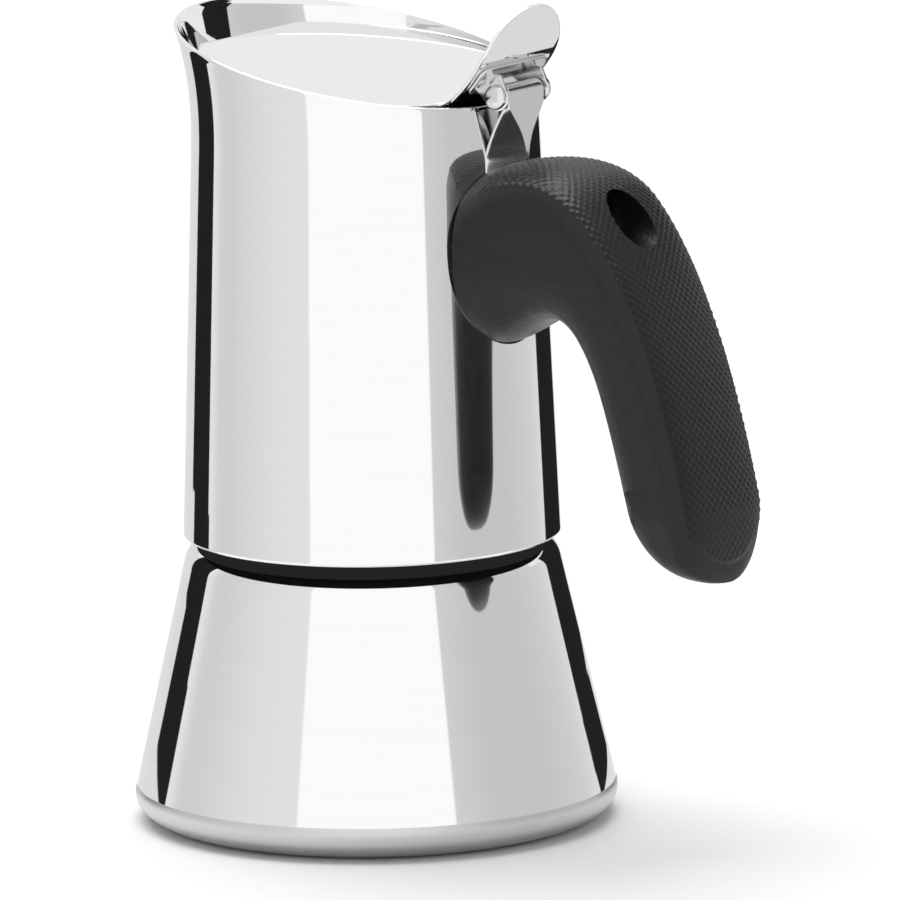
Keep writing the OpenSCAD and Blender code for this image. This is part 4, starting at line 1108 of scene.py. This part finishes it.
class MOKA_OT_stage(bpy.types.Operator):
    """Floor, soft light, the cards that the polished steel reflects, and the camera"""
    bl_idname = "moka.stage"
    bl_label = "Stage"

    # Turns are in degrees to the right of the camera, lengths in millimetres.
    # turns, and the brightness of the ring of pale cards there
    BANDS = [(-180, 0.8), (-131, 0.78), (-129, 0.74), (-112, 0.88), (-104, 0.73), (-95, 0.71), (-60, 0.84),
             (-36.5, 0.87), (-35.5, 1.12), (35.5, 1.12), (36.5, 0.72), (55, 0.64), (85, 0.63), (115, 0.72),
             (125, 0.8), (180, 0.8)]
    RING_R, RING_H = 300.0, 125.0           # radius of the ring, and the top of its lower part
    FRONT_H, BACK_H = 330.0, 520.0          # top of the ring in front and behind
    BACK_FROM = 112.0                       # turn from which on the ring is behind
    # upright black cards: turn from, turn to, radius, height from, height to
    DARK = [(-131.8, -110.5, 200.0, 1.0, 31.0), (-135.5, -111.5, 200.0, 31.0, 128.0),
            (123.0, 158.0, 200.0, 1.0, 113.0), (107.0, 135.0, 84.0, 1.0, 18.0),
            (103.0, 130.0, 200.0, 172.0, 280.0)]
    # black sheets seen from below only, in reflections, that paint shade into the groove between boiler and
    # collector: radius and height of their edges, and the light that they give
    UNDERSIDES = [("roof", [[36.0, 58.0], [68.0, 69.0]], 0.004),    # over the boiler's shoulder
                  ("gap", [[30.2, 52.4], [34.4, 52.4]], 0.02)]      # under the collector's edge
    UNDER_TURN = 128.0
    # pale cards that lie over the floor: turn from, turn to
    LYING = [(-172.0, -104.0), (90.0, 172.0)]
    LYING_NEAR, LYING_FAR, LYING_Z, LYING_LIGHT = 52.0, 300.0, 3.0, 0.80
    BLACK, GREY = 0.016, 0.93                   # brightness of the black cards and of the tall ring behind
    FLOOR_HALF, FLOOR_DOWN = 6000.0, 0.05       # half the floor's side, and its drop under the pot's foot
    KEY_FROM = (-0.212, 0.107, 1.0)             # direction of the key light, from above the pot

    def floor(self, s):
        """A wide paper floor with a very faint grain."""
        f = Finish("floor_paper")
        tint = f.mix(f.span(f.noise(f.place(), 900.0, 2.0), 0.4, 0.6), tuple(s.floor), shade(s.floor, 0.995))
        side = np.array([-self.FLOOR_HALF, self.FLOOR_HALF])
        x, y = np.meshgrid(side, side)
        floor = grid_object("floor", [np.stack([x, y, 0 * x - self.FLOOR_DOWN], -1)], closed_columns=False)
        floor.data.materials.append(f.surface(Base_Color=tint, Roughness=0.9, Specular_IOR_Level=0.0))

    def card(self, name, start, end, section, material, s, columns=61):
        """A sheet that only reflections see: a section's radii and heights, carried round the pot between two
        turns."""
        turns = np.radians(np.linspace(start, end, columns) + s.azimuth - 90)[None, :]
        card = grid_object(name, [revolve(np.array(section), turns)], closed_columns=False)
        card.data.materials.append(material)
        card.visible_camera = card.visible_diffuse = card.visible_shadow = False
        card.visible_transmission = card.visible_volume_scatter = False

    def cards(self, s):
        """A ring of pale cards that is taller behind the pot, upright black cards near it, black undersides
        that paint shade into the groove at the joint between boiler and collector, and pale cards that lie
        over the floor."""
        pale, black, grey = self.banded(s), glow("black_cards", self.BLACK), glow("back_cards", self.GREY)
        turn, low = self.BACK_FROM, self.RING_H
        dark = [("dark_%d" % k, start, end, radius, bottom, top, black)
                for k, (start, end, radius, bottom, top) in enumerate(self.DARK)]
        for name, start, end, radius, bottom, top, material in [
                ("ring", -180, 180, self.RING_R, 1.0, low, pale),
                ("ring_front", -turn, turn, self.RING_R, low, self.FRONT_H, pale),
                ("ring_back", turn, 360 - turn, self.RING_R, low, self.BACK_H, grey), *dark]:
            self.card(name, start, end, [[radius, bottom], [radius, top]], material, s)
        # black sheets that paint shade into the groove under the collector's edge, seen only in reflections
        for name, section, strength in self.UNDERSIDES:
            self.card(name, -self.UNDER_TURN, self.UNDER_TURN, section, self.from_below(strength), s, 121)
        for k, (start, end) in enumerate(self.LYING):
            section = [[self.LYING_NEAR, self.LYING_Z], [self.LYING_FAR, self.LYING_Z]]
            self.card("lying_%d" % k, start, end, section, glow("lying_%d" % k, self.LYING_LIGHT), s, 31)

    def banded(self, s):
        """Light whose strength follows the turn about the pot."""
        f = Finish("pale_cards")
        x, y = (f.add("ShaderNodeSeparateXYZ", {0: f.place()}, k) for k in range(2))
        ahead = math.radians(s.azimuth - 90)
        front = x * math.cos(ahead) + y * math.sin(ahead)
        side = y * math.cos(ahead) - x * math.sin(ahead)
        turn = side.math("ARCTAN2", side, front) * (180 / math.pi)
        strength = self.BANDS[0][1]
        for (start, low), (end, high) in zip(self.BANDS, self.BANDS[1:]):
            strength = strength + f.span(turn, start, end, 0.0, high - low)
        return f.shown(f.light(strength))

    def from_below(self, strength):
        """Light that a sheet gives downwards only; from above the sheet is clear."""
        f = Finish("underside_%d" % (1000 * strength))
        back = f.add("ShaderNodeNewGeometry", out="Backfacing")
        clear = f.add("ShaderNodeBsdfTransparent")
        return f.shown(f.add("ShaderNodeMixShader", {0: back, 1: f.light(strength), 2: clear}))

    def world(self, s):
        """White to the camera and in reflections, and the fill light's strength to everything else."""
        f = Finish("studio", "worlds")
        camera, glossy, clear = (f.add("ShaderNodeLightPath", out="Is %s Ray" % kind)
                                 for kind in ("Camera", "Glossy", "Transmission"))
        seen = camera.math("MAXIMUM", camera.math("MAXIMUM", camera, glossy), clear)
        fill, white = (f.add("ShaderNodeBackground", {"Color": (1, 1, 1), "Strength": strength})
                       for strength in (s.fill, 1.0))
        mixed = f.add("ShaderNodeMixShader", {0: seen, 1: fill, 2: white})
        bpy.context.scene.world = f.shown(mixed, "ShaderNodeOutputWorld")

    def key(self, s):
        """A broad, soft lamp, far away."""
        data = bpy.data.lights.new("key", "SUN")
        data.angle, data.energy = math.radians(s.key_spread), s.key
        away = np.array(self.KEY_FROM) / np.linalg.norm(self.KEY_FROM)
        side = np.cross([0, 1, 0], away)
        side /= np.linalg.norm(side)
        stood(data, (side, np.cross(away, side), away), away)

    def camera(self, s):
        """Stands at the given turn and pitch, with its horizon turned by the roll."""
        turn, pitch, roll = (math.radians(v) for v in (s.azimuth, s.pitch, s.roll))
        right = np.array([math.cos(turn), math.sin(turn), 0])
        up = np.array([-math.sin(turn) * math.sin(pitch), math.cos(turn) * math.sin(pitch), math.cos(pitch)])
        side = right * math.cos(roll) + up * math.sin(roll)
        top = up * math.cos(roll) - right * math.sin(roll)
        data = bpy.data.cameras.new("camera")
        data.sensor_width, data.lens = 36.0, s.lens
        data.clip_start, data.clip_end = 0.1, 50.0
        place = np.array([s.camera_x, s.camera_y, s.camera_z]) * MM
        bpy.context.scene.camera = stood(data, (side, top, np.cross(right, up)), place)

    def execute(self, context):
        s = in_mm(context.scene.pot_stage)
        for part in (self.floor, self.cards, self.world, self.key, self.camera):
            part(s)
        context.scene.view_settings.view_transform = "Standard"
        return {"FINISHED"}


class MOKA_PT_panel(bpy.types.Panel):
    """Lists the pot's pieces and their sizes"""
    bl_idname = "MOKA_PT_panel"
    bl_label = "Moka Pot"
    bl_space_type = "VIEW_3D"
    bl_region_type = "UI"
    bl_category = "Moka Pot"

    def draw(self, context):
        for group, title, _, operators in SECTIONS:
            box = self.layout.box()
            box.label(text=title)
            settings = getattr(context.scene, group)
            for key in settings.bl_rna.properties.keys():
                if key not in {"rna_type", "name"}:
                    box.prop(settings, key)
            for operator in operators:
                box.operator(operator)


SECTIONS = [
    ("pot_boiler", "Boiler", PotBoilerSizes, ["moka.boiler", "moka.base"]),
    ("pot_collector", "Collector", PotCollectorSizes, ["moka.collector"]),
    ("pot_lid", "Lid", PotLidSizes, ["moka.lid"]),
    ("pot_hinge", "Hinge", PotHingeSizes, ["moka.hinge"]),
    ("pot_handle", "Handle", PotHandleSizes, ["moka.handle"]),
    ("pot_finishes", "Finishes", PotFinishes, ["moka.finishes"]),
    ("pot_stage", "Stage", PotStageSettings, ["moka.stage"]),
]
CLASSES = [*(group for _, _, group, _ in SECTIONS), MOKA_OT_boiler, MOKA_OT_base, MOKA_OT_collector,
           MOKA_OT_lid, MOKA_OT_hinge, MOKA_OT_handle, MOKA_OT_finishes, MOKA_OT_stage, MOKA_PT_panel]


def register():
    for item in CLASSES:
        bpy.utils.register_class(item)
    for name, _, group, _ in SECTIONS:
        setattr(bpy.types.Scene, name, PointerProperty(type=group))


def unregister():
    for name, _, _, _ in SECTIONS:
        delattr(bpy.types.Scene, name)
    for item in reversed(CLASSES):
        bpy.utils.unregister_class(item)


def main():
    register()
    for _, _, _, operators in SECTIONS:
        for operator in operators:
            family, name = operator.split(".")
            getattr(getattr(bpy.ops, family), name)()


if __name__ == "__main__":
    main()
